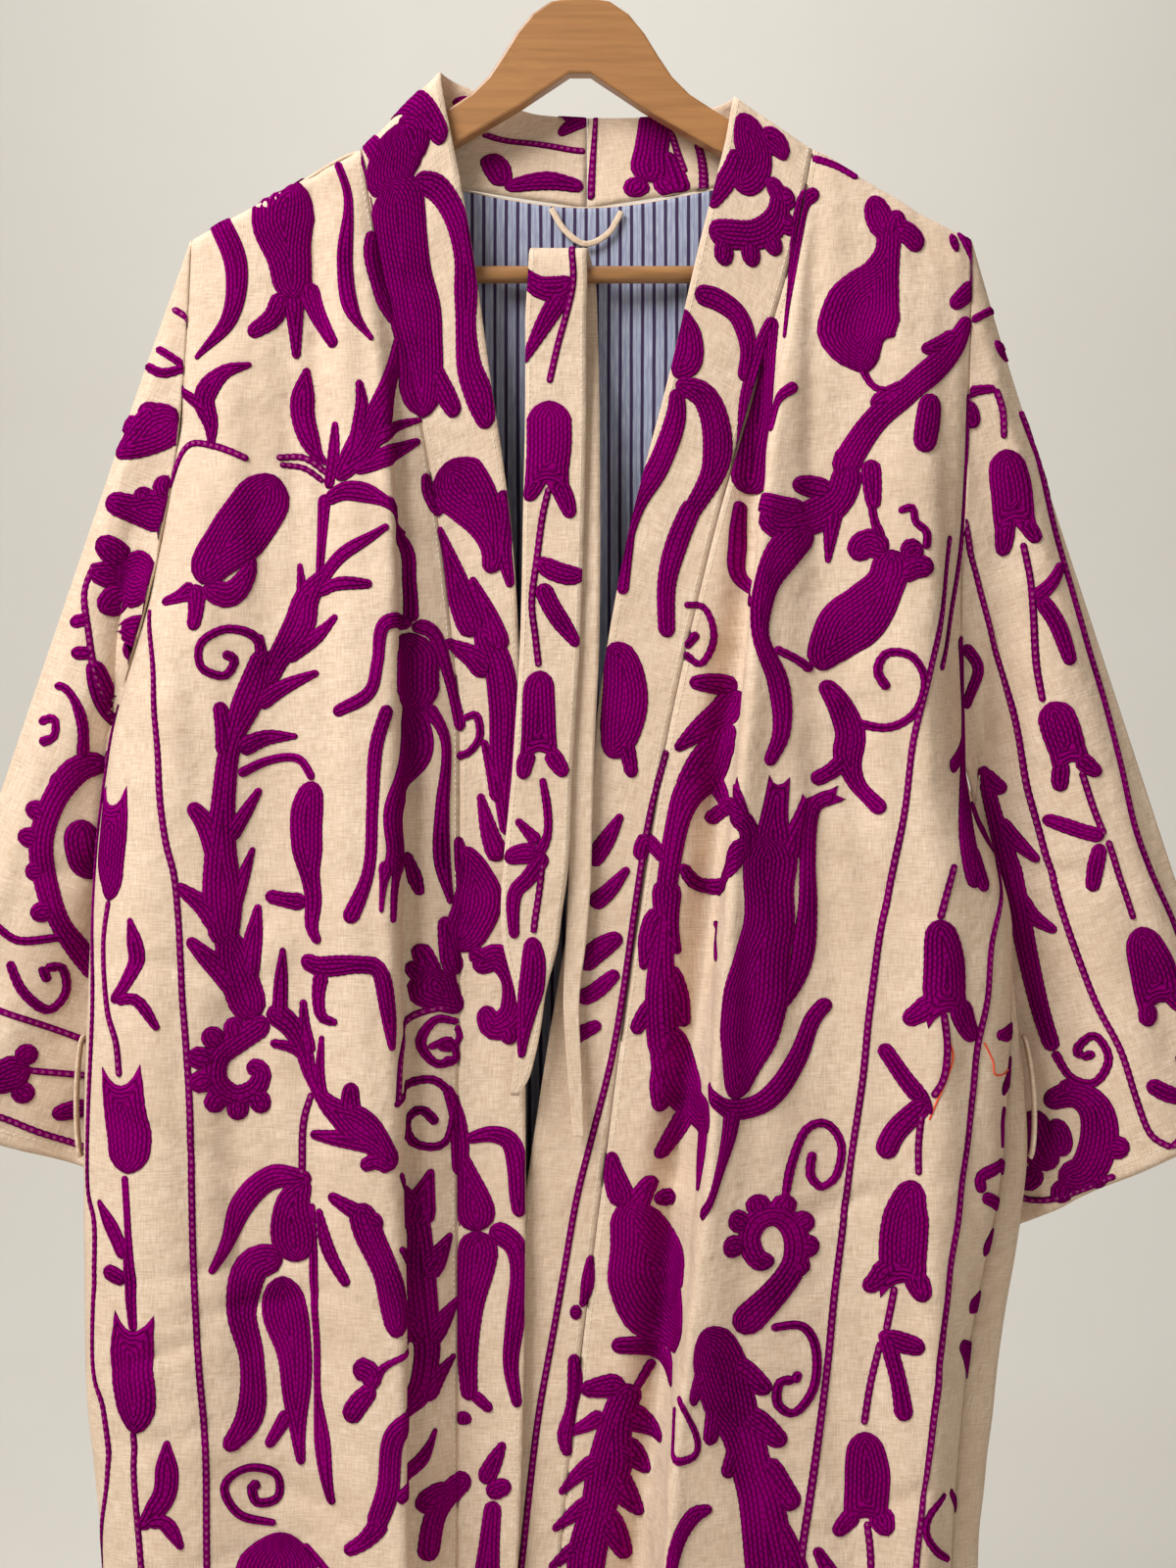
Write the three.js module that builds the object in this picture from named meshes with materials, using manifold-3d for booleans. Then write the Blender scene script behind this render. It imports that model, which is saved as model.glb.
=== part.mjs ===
// A long kimono jacket of embroidered canvas, hanging open-necked on a flat wooden hanger with its belt over
// the bar.
// Units are millimetres, +Z is up, -Y is the front, and the origin is where a rail bears inside the hanger's
// hook.
// "right" and "left" are the wearer's, so the right front is on the -X side.
import * as THREE from "three";
import { mergeVertices } from "three/addons/utils/BufferGeometryUtils.js";
import Module from "manifold-3d";

// ---- Driving sizes ----
const CLOTH = 2; // canvas with its wool stitching and the front's own lining
const LINING = 1;
const SEAM_GAP = 0.3; // between two pieces that are sewn together
const SEAM_STEP = 1.5; // between the middles of two edges that meet at an angle, for the same gap
const NECK_Z = -150; // where the shoulder seams meet the neck band
const LENGTH = 1117; // from there to the hem
const SHOULDER_DROP = 52; // from the neck end of the shoulder seam to its sleeve end
const SHOULDER_FADE = 320; // how far down the rows still follow the shoulder's slope
const SHOULDER_ROUND = 9; // the cloth turns over the hanger within this height
const UNDERARM = 350; // depth of the armhole
const BACK_NECK_DROP = 28;
const HANGER = { thick: 12, hump: -62, barZ: -221, barR: 5, lobeX: 196 };
const HOOK = { wire: 1.8, inner: 18 };

// The heights below NECK_Z at which the tables give a section's points, and the rows of the solid walls.
const LEVELS = [0, 60, 150, 250, 350, 450, 570, 700, 820, LENGTH];
const ARMHOLE_ROWS = [0, 1.2, 4.5, 9, 26, 50, 80, 115, 155, 195, 235, 275, 315, UNDERARM];
const SKIRT_ROWS = [385, 425, 470, 520, 570, 625, 685, 745, 810, 880, 955, 1035, LENGTH];
const ROWS = [...ARMHOLE_ROWS, ...SKIRT_ROWS];

// ---- The hanging cloth, as vertical fold lines ----
// Each fold line has its x and its y (depth, front negative) at LEVELS. drop is how far its top end lies
// below the neck end of the shoulder seam, and cells is the number of wall cells up to the next line.
const RIGHT_FRONT = [
  { line: "band seam", drop: 0, cells: 1,
    x: [-126, -116, -93, -77, -69, -69, -70, -70, -70, -72],
    y: [-9, -10, -11, -12, -13, -14, -15, -16, -17, -19] },
  { line: "foot", drop: 1, cells: 2,
    x: [-128, -119, -103, -94, -93, -94, -93, -87, -85, -88],
    y: [-9, -13, -18, -22, -25, -27, -29, -31, -32, -34] },
  { line: "crest", drop: 4, cells: 3,
    x: [-133, -126, -114, -107, -108, -109, -108, -100, -98, -99],
    y: [-9, -16, -29, -37, -41, -44, -47, -50, -52, -54] },
  { line: "valley", drop: 13, cells: 2,
    x: [-150, -151, -163, -168, -171, -174, -175, -165, -160, -160],
    y: [-9, -12, -18, -24, -28, -31, -34, -35, -36, -40] },
  { line: "ridge", drop: 33, cells: 2,
    x: [-185, -190, -196, -208, -222, -228, -232, -228, -222, -222],
    y: [-9, -14, -23, -30, -35, -39, -42, -45, -46, -48] },
  { line: "turn", drop: 48, cells: 2,
    x: [-214, -216, -220, -236, -263, -273, -278, -276, -266, -271],
    y: [-9, -11, -17, -19, -18, -22, -25, -28, -29, -30] },
  { line: "side seam", drop: SHOULDER_DROP, cells: 0,
    x: [-222, -223, -228, -244, -272, -282, -286, -285, -274, -280],
    y: [-9, -9, -11, -10, -0.7, -0.7, -0.7, -0.7, -0.7, -0.7] },
];
const LEFT_FRONT = [
  { line: "band seam", drop: 0, cells: 1,
    x: [134, 122, 96, 70, 48, 32, 16, 0, -12, -27],
    y: [-9, -10, -11, -12, -12, -12, -12, -12, -12, -13] },
  { line: "recess", drop: 1, cells: 1,
    x: [136, 124, 101, 82, 67, 54, 42, 26, 15, 4],
    y: [-9, -10, -12, -13, -14, -14, -14, -14, -15, -16] },
  { line: "foot", drop: 2, cells: 2,
    x: [138, 126, 106, 94, 86, 76, 67, 52, 41, 33],
    y: [-9, -11, -15, -17, -18, -19, -20, -21, -22, -24] },
  { line: "crest", drop: 4, cells: 3,
    x: [141, 130, 114, 101, 93, 83, 74, 59, 48, 40],
    y: [-9, -13, -28, -37, -43, -48, -52, -55, -57, -60] },
  { line: "valley", drop: 14, cells: 2,
    x: [158, 155, 147, 145, 146, 147, 148, 150, 152, 152],
    y: [-9, -12, -20, -26, -30, -33, -36, -38, -40, -42] },
  { line: "ridge", drop: 32, cells: 2,
    x: [188, 188, 190, 192, 194, 196, 198, 196, 190, 186],
    y: [-9, -14, -26, -33, -38, -42, -45, -47, -48, -50] },
  { line: "turn", drop: 48, cells: 2,
    x: [214, 216, 214, 210, 213, 239, 234, 212, 203, 199],
    y: [-9, -11, -17, -19, -19, -24, -30, -33, -34, -35] },
  { line: "side seam", drop: SHOULDER_DROP, cells: 0,
    x: [222, 224, 222, 218, 221, 248, 242, 219, 210, 206],
    y: [-9, -9, -11, -10, -0.5, -4, -14, -20, -22, -22] },
];
// neck: 1 where the top edge is the back neckline, which doesn't turn over the hanger.
const BACK = [
  { line: "right side seam", drop: SHOULDER_DROP, neck: 0, cells: 2,
    x: [-222, -223, -228, -244, -272, -282, -286, -285, -274, -280],
    y: [9, 9, 11, 10, 0.7, 0.7, 0.7, 0.7, 0.7, 0.7] },
  { line: "right turn", drop: 48, neck: 0, cells: 2,
    x: [-214, -215, -219, -234, -262, -273, -278, -277, -266, -272],
    y: [10, 11, 13, 13, 9, 9, 9, 10, 11, 12] },
  { line: "right ridge", drop: 33, neck: 0, cells: 2,
    x: [-186, -186, -188, -194, -205, -212, -216, -216, -212, -216],
    y: [9, 13, 19, 20, 18, 19, 20, 22, 23, 26] },
  { line: "right neck end", drop: 0, neck: 0, cells: 1,
    x: [-127, -131, -136, -144, -152, -156, -158, -158, -158, -160],
    y: [10, 11, 14, 14, 14, 14, 15, 17, 17, 19] },
  { line: "right neck corner", drop: 4, neck: 1, cells: 2,
    x: [-123, -122, -121, -124, -128, -130, -130, -130, -130, -132],
    y: [10.3, 11, 13, 13, 13.5, 14, 15, 16, 16, 18] },
  { line: "right valley", drop: 13, neck: 1, cells: 2,
    x: [-95, -94, -92, -90, -90, -90, -90, -90, -90, -90],
    y: [11, 11, 12, 13, 14, 15, 16, 16, 16, 18] },
  { line: "centre", drop: BACK_NECK_DROP, neck: 1, cells: 2,
    x: [4, 4, 4, 4, 4, 4, 4, 4, 4, 4],
    y: [14, 15, 18, 20, 21, 22, 23, 24, 25, 27] },
  { line: "left valley", drop: 13, neck: 1, cells: 2,
    x: [101, 100, 98, 96, 95, 94, 92, 92, 90, 88],
    y: [11, 11, 12, 13, 14, 15, 15, 16, 16, 17] },
  { line: "left neck corner", drop: 4, neck: 1, cells: 1,
    x: [130, 128, 126, 124, 124, 124, 124, 122, 118, 114],
    y: [10.3, 11, 13, 14, 14.5, 15, 15.5, 16.5, 16.5, 17.5] },
  { line: "left neck end", drop: 0, neck: 0, cells: 2,
    x: [134, 137, 141, 144, 147, 151, 152, 150, 145, 140],
    y: [10, 11, 14, 15, 15, 15, 16, 17, 17, 18] },
  { line: "left ridge", drop: 33, neck: 0, cells: 2,
    x: [186, 186, 186, 184, 186, 196, 200, 196, 186, 180],
    y: [9, 13, 19, 20, 18, 19, 21, 23, 23, 25] },
  { line: "left turn", drop: 48, neck: 0, cells: 2,
    x: [214, 216, 214, 209, 212, 240, 252, 236, 222, 216],
    y: [9, 10, 13, 13, 9, 9, 6, 6, 6, 7] },
  { line: "left side", drop: 50, neck: 0, cells: 1,
    x: [218, 220, 218, 213.5, 216.5, 246, 257, 239, 227, 221],
    y: [9, 9.5, 12, 11.5, 5, 4, -4, -8, -9, -9] },
  { line: "left side seam", drop: SHOULDER_DROP, neck: 0, cells: 0,
    x: [222, 224, 222, 218, 221.5, 248.8, 242.8, 219.8, 210.8, 206.8],
    y: [9, 9, 11, 10, 1.2, -1.6, -12.8, -19, -21, -21] },
];

// The neck band's free edge: neck goes from the centre back to the top of the shoulder, and front goes on
// down the front. Its other edge is the seam, which follows the edges of the back and the front.
const RIGHT_BAND = {
  neck: [[3.8, 19, -125], [-22, 18.5, -123.5], [-46, 17, -117], [-60, 14.5, -111], [-72, 10.5, -107],
    [-80.5, 0, -104]],
  front: { // the free edge beside the seam at these depths
    depth: [4.5, 9, 26, 80, 155, 235, 315, 425, 570, 700, 820, LENGTH],
    x: [-80.2, -79, -75, -63, -51, -39, -34, -32, -31, -31.5, -37, -44],
    y: [-6, -9, -11, -12, -13, -14, -15, -16, -18, -20, -21, -24],
    z: [-110, -118, -138, -201, -286, -373, -459, -573, -720, -850, -970, NECK_Z - LENGTH],
  },
};
const LEFT_BAND = {
  neck: [[4.2, 19, -125], [30, 18.5, -125], [54, 17, -124], [68, 14.5, -122], [80, 10.5, -120.5],
    [88.5, 0, -119]],
  front: {
    depth: [4.5, 9, 26, 80, 155, 235, 315, 425, 570, 700, 820, LENGTH],
    x: [88.2, 87, 84, 70, 50, 28, 13, -2, -27, -44, -58, -74],
    y: [-6, -8.5, -10, -11, -12, -12, -12, -12, -12, -12, -12, -13],
    z: [-121, -126, -143, -199, -285, -370, -452, -566, -718, -850, -970, NECK_Z - LENGTH],
  },
};
const BAND_CELLS = 3; // across the band

// A sleeve, as rings of the tube below the armhole. outer is the ring's upper end, on the sleeve's outer
// fold, and inner its lower end, which hangs behind the body. front and back are the depths of its two
// layers at SHARES of the way from one to the other.
const SHARES = [0, 0.15, 0.4, 0.6, 0.8, 1];
const SLEEVE_LAYERS = [
  { at: 0.14, front: [2, -8, -5, 0, 5, 20], back: [2, 11, 17, 20, 23, 20] },
  { at: 0.42, front: [6, -8, 2, 18, 28, 38], back: [6, 20, 30, 37, 42, 38] },
  { at: 1, front: [12, -4, 0, 11, 27, 46], back: [12, 28, 38, 46, 52, 46] },
];
const RIGHT_SLEEVE = [
  { outer: [-249, -270], inner: [-276, -532] },
  { outer: [-299, -412], inner: [-243, -618] },
  { outer: [-399, -702], inner: [-211, -765] },
];
const LEFT_SLEEVE = [
  { outer: [246, -270], inner: [231, -532] },
  { outer: [293, -412], inner: [219, -630] },
  { outer: [390, -705], inner: [214, -797] },
];
const SLEEVE_ROWS = [0, 0.05, 0.1, 0.16, 0.24, 0.32, 0.41, 0.5, 0.6, 0.7, 0.8, 0.9, 1];
const RIPPLE = { depth: 4, waves: 2.5 }; // soft lengthwise folds that grow towards the cuff
const ARMHOLE_GAP = 2.5; // keeps the turned edges of the armhole apart

// The belt, folded over the hanger's bar: the front tail upwards, over the bar, and down the back tail.
const BELT_THICK = 2;
const BELT = [
  { x: -37, y: -27, z: -692, wide: 5 },
  { x: -33, y: -26.5, z: -680, wide: 10 },
  { x: -28, y: -26, z: -641, wide: 15 },
  { x: -28, y: -25, z: -600, wide: 33 },
  { x: -25, y: -24, z: -561, wide: 37 },
  { x: -21, y: -23, z: -501, wide: 34 },
  { x: -17, y: -20, z: -431, wide: 34 },
  { x: -15, y: -15, z: -355, wide: 35 },
  { x: -14, y: -10, z: -290, wide: 35 },
  { x: -14, y: -8, z: -250, wide: 35 },
  { x: -13, y: -8, z: -221, wide: 34 },
  { x: -13, y: -6.5, z: -212, wide: 33 },
  { x: -12, y: 0, z: -206.5, wide: 33 },
  { x: -10, y: 6.5, z: -212, wide: 33 },
  { x: -8, y: 8, z: -221, wide: 34 },
  { x: -7, y: 6, z: -245, wide: 34 },
  { x: -6, y: -3, z: -290, wide: 34 },
  { x: -5, y: -10.5, z: -355, wide: 33 },
  { x: -3, y: -16, z: -431, wide: 28 },
  { x: -1, y: -19, z: -501, wide: 18 },
  { x: 0, y: -19.5, z: -561, wide: 13 },
  { x: -2, y: -19.5, z: -600, wide: 12 },
  { x: -5, y: -20, z: -641, wide: 9 },
  { x: -3, y: -20.5, z: -680, wide: 8 },
  { x: -1, y: -21, z: -716, wide: 6 },
];
const HANGING_LOOP = {
  wide: 3.6,
  thick: 1.6,
  path: [[-17, 9.5, -180], [-9, 9, -193], [3, 8.5, -201], [16, 9, -195], [24, 9.5, -182]],
};
const BELT_LOOP = { wide: 8, thick: 1.6, top: 511, bottom: 581, stand: 3, steps: 10 };

// ---- Small tools ----
// Monotone cubic interpolation (Fritsch-Carlson): smooth, and it never overshoots the table.
function smooth(xs, ys, x) {
  const last = xs.length - 1;
  if (x <= xs[0]) return ys[0];
  if (x >= xs[last]) return ys[last];
  let i = 0;
  while (x > xs[i + 1]) i++;
  const chord = (k) => (ys[k + 1] - ys[k]) / (xs[k + 1] - xs[k]);
  const slope = (k) => {
    if (k === 0) return chord(0);
    if (k === last) return chord(last - 1);
    const before = chord(k - 1);
    const after = chord(k);
    return before * after <= 0 ? 0 : (2 * before * after) / (before + after);
  };
  const width = xs[i + 1] - xs[i];
  const t = (x - xs[i]) / width;
  const rise = ys[i + 1] - ys[i];
  const start = slope(i) * width;
  const end = slope(i + 1) * width;
  return ys[i] + t * (start + t * (3 * rise - 2 * start - end + t * (start + end - 2 * rise)));
}

const lerp = THREE.MathUtils.lerp;
const vec = (x, y, z) => new THREE.Vector3(x, y, z);

// A grid of points, rows by columns, moved along its normals. Out is down a column x along a row. Each row
// goes round on itself if round.
function moved(grid, distance, round = false) {
  return grid.map((row, i) =>
    row.map((p, j) => {
      const last = row.length - 1;
      const beside = (k) => row[round ? (k + row.length) % row.length : THREE.MathUtils.clamp(k, 0, last)];
      const down = grid[Math.min(i + 1, grid.length - 1)][j].clone().sub(grid[Math.max(i - 1, 0)][j]);
      const out = down.cross(beside(j + 1).clone().sub(beside(j - 1))).normalize();
      return p.clone().addScaledVector(out, distance);
    }),
  );
}

// A closed wall of one thickness about a grid.
function wall(grid, thickness, round = false) {
  const rows = grid.length;
  const columns = grid[0].length;
  const sides = [moved(grid, thickness / 2, round), moved(grid, -thickness / 2, round)];
  const positions = sides.flat(2).flatMap((p) => p.toArray());
  const faces = [];
  const quad = (a, b, c, d) => faces.push(a, b, c, a, c, d);
  const id = (i, j, side) => side * rows * columns + i * columns + (j % columns);
  const cells = round ? columns : columns - 1;
  for (let i = 0; i < rows - 1; i++) {
    for (let j = 0; j < cells; j++) {
      quad(id(i, j, 0), id(i + 1, j, 0), id(i + 1, j + 1, 0), id(i, j + 1, 0));
      quad(id(i, j, 1), id(i, j + 1, 1), id(i + 1, j + 1, 1), id(i + 1, j, 1));
    }
  }
  for (let j = 0; j < cells; j++) {
    quad(id(0, j, 0), id(0, j + 1, 0), id(0, j + 1, 1), id(0, j, 1));
    quad(id(rows - 1, j, 1), id(rows - 1, j + 1, 1), id(rows - 1, j + 1, 0), id(rows - 1, j, 0));
  }
  if (!round) {
    for (let i = 0; i < rows - 1; i++) {
      quad(id(i, 0, 1), id(i + 1, 0, 1), id(i + 1, 0, 0), id(i, 0, 0));
      const end = columns - 1;
      quad(id(i, end, 0), id(i + 1, end, 0), id(i + 1, end, 1), id(i, end, 1));
    }
  }
  return new THREE.BufferGeometry()
    .setAttribute("position", new THREE.Float32BufferAttribute(positions, 3))
    .setIndex(faces);
}

// ---- The body ----
// The place of a fold line on the row that starts this far below the shoulder seam.
function onLine(line, row, side) {
  const depth = row + line.drop * Math.max(0, 1 - row / SHOULDER_FADE);
  const turned = line.neck ? 1 : Math.sqrt(1 - Math.max(1 - row / SHOULDER_ROUND, 0) ** 2);
  const atSeam = side * (SEAM_GAP + 0.1);
  return vec(
    smooth(LEVELS, line.x, depth),
    lerp(atSeam, smooth(LEVELS, line.y, depth), turned),
    NECK_Z - depth,
  );
}

// One row of a panel: its fold lines' places, and points on a smooth curve through them.
function panelRow(lines, row, side) {
  const places = lines.map((line) => onLine(line, row, side));
  const along = [0];
  places.forEach((p, k) => k && along.push(along[k - 1] + Math.max(p.distanceTo(places[k - 1]), 0.1)));
  const points = [];
  lines.forEach((line, k) => {
    for (let c = 0; c < Math.max(line.cells, 1); c++) {
      const s = line.cells ? lerp(along[k], along[k + 1], c / line.cells) : along[k];
      points.push(vec(...["x", "y", "z"].map((axis) => smooth(along, places.map((p) => p[axis]), s))));
    }
  });
  return points;
}

const FRONT_SIDE = -1;
const BACK_SIDE = 1;
const panel = (lines, side) => ROWS.map((row) => panelRow(lines, row, side));

// The lining hangs against the back's inner face, a little short of its edges.
function liningGrid(grid) {
  const inside = moved(grid, (CLOTH + LINING) / 2 + SEAM_GAP);
  return inside.slice(3, -1).map((row) => row.slice(2, -3));
}

// ---- The neck band ----
function bandGrid(band, lines) {
  const sign = Math.sign(lines[0].x[0]);
  const across = (seam, edge) => {
    const points = [];
    for (let c = 0; c <= BAND_CELLS; c++) points.push(seam.clone().lerp(edge, c / BAND_CELLS));
    return points;
  };
  const centre = BACK.find(({ line }) => line === "centre").x[0];
  const corner = Math.max(...BACK.filter(({ neck }) => neck).map(({ x }) => sign * x[0]));
  const seams = panelRow(BACK, 0, BACK_SIDE)
    .filter(({ x }) => sign * x > sign * centre - 1 && sign * x <= corner);
  if (sign < 0) seams.reverse();
  seams.forEach((seam) => seam.add(vec(0, 0, SEAM_STEP)));
  seams[0].x = band.neck[0][0];
  seams.push(vec(lines[0].x[0] - sign * SEAM_GAP, 0, NECK_Z + SEAM_STEP));
  const grid = seams.map((seam, k) => across(seam, vec(...band.neck[k])));
  for (const depth of ROWS.filter((row) => row >= SHOULDER_ROUND / 2)) {
    const seam = onLine(lines[0], depth, FRONT_SIDE).add(vec(-sign * SEAM_STEP, 0, 0));
    const edge = ["x", "y", "z"].map((axis) => smooth(band.front.depth, band.front[axis], depth));
    grid.push(across(seam, vec(...edge)));
  }
  return grid;
}

// ---- The sleeves ----
// The ring of a sleeve's edge at the armhole: down the front's edge from the shoulder and up the back's.
function armhole(frontLine, backLine) {
  const sign = Math.sign(frontLine.x[0]);
  const place = (line, row, side) => onLine(line, row, side).add(vec(sign * ARMHOLE_GAP, 0, 0));
  const front = ARMHOLE_ROWS.map((row) => place(frontLine, row, FRONT_SIDE));
  const back = ARMHOLE_ROWS.slice(1, -1).reverse().map((row) => place(backLine, row, BACK_SIDE));
  front[0].y = 0;
  front.at(-1).y = 0;
  front.at(-1).z -= ARMHOLE_GAP;
  return [...front, ...back];
}

// The place on one ring of the table, front or back being the layer.
function ringPoint(ring, layers, layer, share) {
  const wave = Math.sin(share * Math.PI * 2 * RIPPLE.waves) * Math.sin(Math.PI * share);
  return vec(
    lerp(ring.outer[0], ring.inner[0], share),
    smooth(SHARES, layers[layer], share) + RIPPLE.depth * layers.at * wave,
    lerp(ring.outer[1], ring.inner[1], share),
  );
}

function sleeveGrid(rings, frontLine, backLine) {
  const top = armhole(frontLine, backLine);
  const turns = ARMHOLE_ROWS.length - 1;
  const at = [0, ...SLEEVE_LAYERS.map((layers) => layers.at)];
  return SLEEVE_ROWS.map((t) =>
    top.map((start, j) => {
      const row = ARMHOLE_ROWS[j <= turns ? j : 2 * turns - j];
      const layer = j <= turns ? "front" : "back";
      const lower = rings.map((ring, k) => ringPoint(ring, SLEEVE_LAYERS[k], layer, row / UNDERARM));
      const places = [start, ...lower];
      return vec(...["x", "y", "z"].map((axis) => smooth(at, places.map((p) => p[axis]), t)));
    }),
  );
}

// ---- Belt, straps and loops ----
// A flat strip along a table of places, as wide across x as the table says.
function stripGrid(path, cells) {
  return path.map(({ x, y, z, wide }) => {
    const points = [];
    for (let c = 0; c <= cells; c++) points.push(vec(x + wide * (c / cells - 0.5), y, z));
    return points;
  });
}

// A strap of rectangular section swept along a curve.
function strap(points, wide, thick, steps) {
  const section = new THREE.Shape([
    new THREE.Vector2(-thick / 2, -wide / 2),
    new THREE.Vector2(thick / 2, -wide / 2),
    new THREE.Vector2(thick / 2, wide / 2),
    new THREE.Vector2(-thick / 2, wide / 2),
  ]);
  return new THREE.ExtrudeGeometry(section, { steps, extrudePath: new THREE.CatmullRomCurve3(points) });
}

// A belt loop stands on the body's side: sewn down at both ends and bowed out between them.
function beltLoopGrid(line, side, out) {
  const grid = [];
  for (let k = 0; k <= BELT_LOOP.steps; k++) {
    const share = k / BELT_LOOP.steps;
    const place = onLine(line, lerp(BELT_LOOP.top, BELT_LOOP.bottom, share), side);
    const stand = CLOTH / 2 + BELT_LOOP.thick / 2 + 0.6 + BELT_LOOP.stand * Math.sin(Math.PI * share) ** 0.5;
    const centre = place.addScaledVector(out, stand);
    const across = vec(-out.y, out.x, 0).multiplyScalar(BELT_LOOP.wide / 2);
    grid.push([centre.clone().sub(across), centre.clone(), centre.clone().add(across)]);
  }
  return grid;
}

// ---- The hanger ----
const wasm = await Module();
wasm.setup();
function solid(geometry) {
  const bare = geometry.index ? geometry.toNonIndexed() : geometry.clone();
  bare.deleteAttribute("normal");
  bare.deleteAttribute("uv");
  const merged = mergeVertices(bare, 1e-4);
  return new wasm.Manifold(new wasm.Mesh({
    numProp: 3,
    vertProperties: merged.attributes.position.array,
    triVerts: new Uint32Array(merged.index.array),
  }));
}
function geometryOf(manifold) {
  const { vertProperties, triVerts } = manifold.getMesh();
  return new THREE.BufferGeometry()
    .setAttribute("position", new THREE.BufferAttribute(new Float32Array(vertProperties), 3))
    .setIndex(new THREE.BufferAttribute(triVerts, 1));
}

// Half of the body's outline, from the top of the hump outwards and back along the underside.
function hangerBody() {
  const { hump, lobeX, thick, barZ, barR } = HANGER;
  const bevel = 1.5;
  const upper = [[0, 0], [17, -2.5], [28, -10], [37, -21], [45, -34], [53, -46], [63, -56], [76, -64.5],
    [100, -79.5], [130, -97], [175, -121], [206, -138], [216, -144]];
  const lower = [[219, -147], [218, -160], [212, -166.5], [202, -168.5], [lobeX, -165], [188, -152],
    [170, -137], [140, -122], [110, -105], [72, -85], [36, -64], [6, -44]];
  const right = [...upper, ...lower];
  const points = [...right, ...right.slice(1).reverse().map(([x, z]) => [-x, z])];
  const outline = new THREE.Shape(points.map(([x, z]) => new THREE.Vector2(x, z + hump)));
  const plank = new THREE.ExtrudeGeometry(outline, {
    depth: thick - 2 * bevel, steps: 1,
    bevelEnabled: true, bevelThickness: bevel, bevelSize: bevel, bevelOffset: -bevel, bevelSegments: 2,
  });
  plank.rotateX(Math.PI / 2).translate(0, thick / 2 - bevel, 0);
  const socket = new THREE.CylinderGeometry(barR + SEAM_GAP, barR + SEAM_GAP, 2 * (lobeX + 10), 20);
  socket.rotateZ(Math.PI / 2).translate(0, 0, barZ);
  return geometryOf(solid(plank).subtract(solid(socket)));
}

function hangerBar() {
  const { lobeX, barZ, barR } = HANGER;
  const bar = new THREE.CylinderGeometry(barR, barR, 2 * (lobeX + 10 - SEAM_GAP), 20);
  return bar.rotateZ(Math.PI / 2).translate(0, 0, barZ);
}

// The hook's wire: up out of the hump and round, over the rail and down its far side.
function hangerHook() {
  const round = HOOK.inner + HOOK.wire;
  const { hump } = HANGER;
  const points = [vec(0, 0, hump + SEAM_GAP), vec(0, 0, hump + 10), vec(2.5, 0, hump + 18)];
  for (let degrees = -52; degrees <= 205; degrees += 16) {
    const angle = THREE.MathUtils.degToRad(degrees);
    points.push(vec(round * Math.cos(angle), 0, round * Math.sin(angle) - HOOK.inner));
  }
  const section = new THREE.Shape();
  for (let k = 0; k < 8; k++) {
    const corner = vec(HOOK.wire, 0, 0).applyAxisAngle(vec(0, 0, 1), (k * Math.PI) / 4);
    if (k) section.lineTo(corner.x, corner.y);
    else section.moveTo(corner.x, corner.y);
  }
  return new THREE.ExtrudeGeometry(section, { steps: 34, extrudePath: new THREE.CatmullRomCurve3(points) });
}

// ---- The object ----
const CANVAS = { color: 0xe3d3b4, roughness: 0.9, metalness: 0 };
const STRIPED = { color: 0xb4bcd0, roughness: 0.85, metalness: 0 };
const WOOD = { color: 0xd9a066, roughness: 0.45, metalness: 0 };
const STEEL = { color: 0xb9bcc0, roughness: 0.25, metalness: 1 };

const jacket = new THREE.Group();
function add(name, geometry, finish) {
  const mesh = new THREE.Mesh(geometry, new THREE.MeshStandardMaterial(finish));
  mesh.name = name;
  jacket.add(mesh);
}

const backwards = (grid) => grid.map((row) => [...row].reverse());
const side = (lines) => lines.at(-1);
const backGrid = panel(BACK, BACK_SIDE);
const rightSleeve = sleeveGrid(RIGHT_SLEEVE, side(RIGHT_FRONT), BACK[0]);
const leftSleeve = sleeveGrid(LEFT_SLEEVE, side(LEFT_FRONT), side(BACK));
const rightLoop = beltLoopGrid(side(RIGHT_FRONT), FRONT_SIDE, vec(-1, 0, 0));
const leftLoop = beltLoopGrid(BACK.at(-2), BACK_SIDE, vec(1, 0, 0));
const loopPath = HANGING_LOOP.path.map((p) => vec(...p));
add("back", wall(backwards(backGrid), CLOTH), CANVAS);
add("back_lining", wall(backwards(liningGrid(backGrid)), LINING), STRIPED);
add("right_front", wall(backwards(panel(RIGHT_FRONT, FRONT_SIDE)), CLOTH), CANVAS);
add("left_front", wall(panel(LEFT_FRONT, FRONT_SIDE), CLOTH), CANVAS);
add("right_band", wall(bandGrid(RIGHT_BAND, RIGHT_FRONT), CLOTH), CANVAS);
add("left_band", wall(backwards(bandGrid(LEFT_BAND, LEFT_FRONT)), CLOTH), CANVAS);
add("right_sleeve", wall(rightSleeve, CLOTH, true), CANVAS);
add("left_sleeve", wall(backwards(leftSleeve), CLOTH, true), CANVAS);
add("belt", wall(stripGrid(BELT, 2), BELT_THICK), CANVAS);
add("belt_loop_right", wall(rightLoop, BELT_LOOP.thick), CANVAS);
add("belt_loop_left", wall(leftLoop, BELT_LOOP.thick), CANVAS);
add("hanging_loop", strap(loopPath, HANGING_LOOP.wide, HANGING_LOOP.thick, 16), CANVAS);
add("hanger_body", hangerBody(), WOOD);
add("hanger_bar", hangerBar(), WOOD);
add("hanger_hook", hangerHook(), STEEL);
export default jacket;
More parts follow.
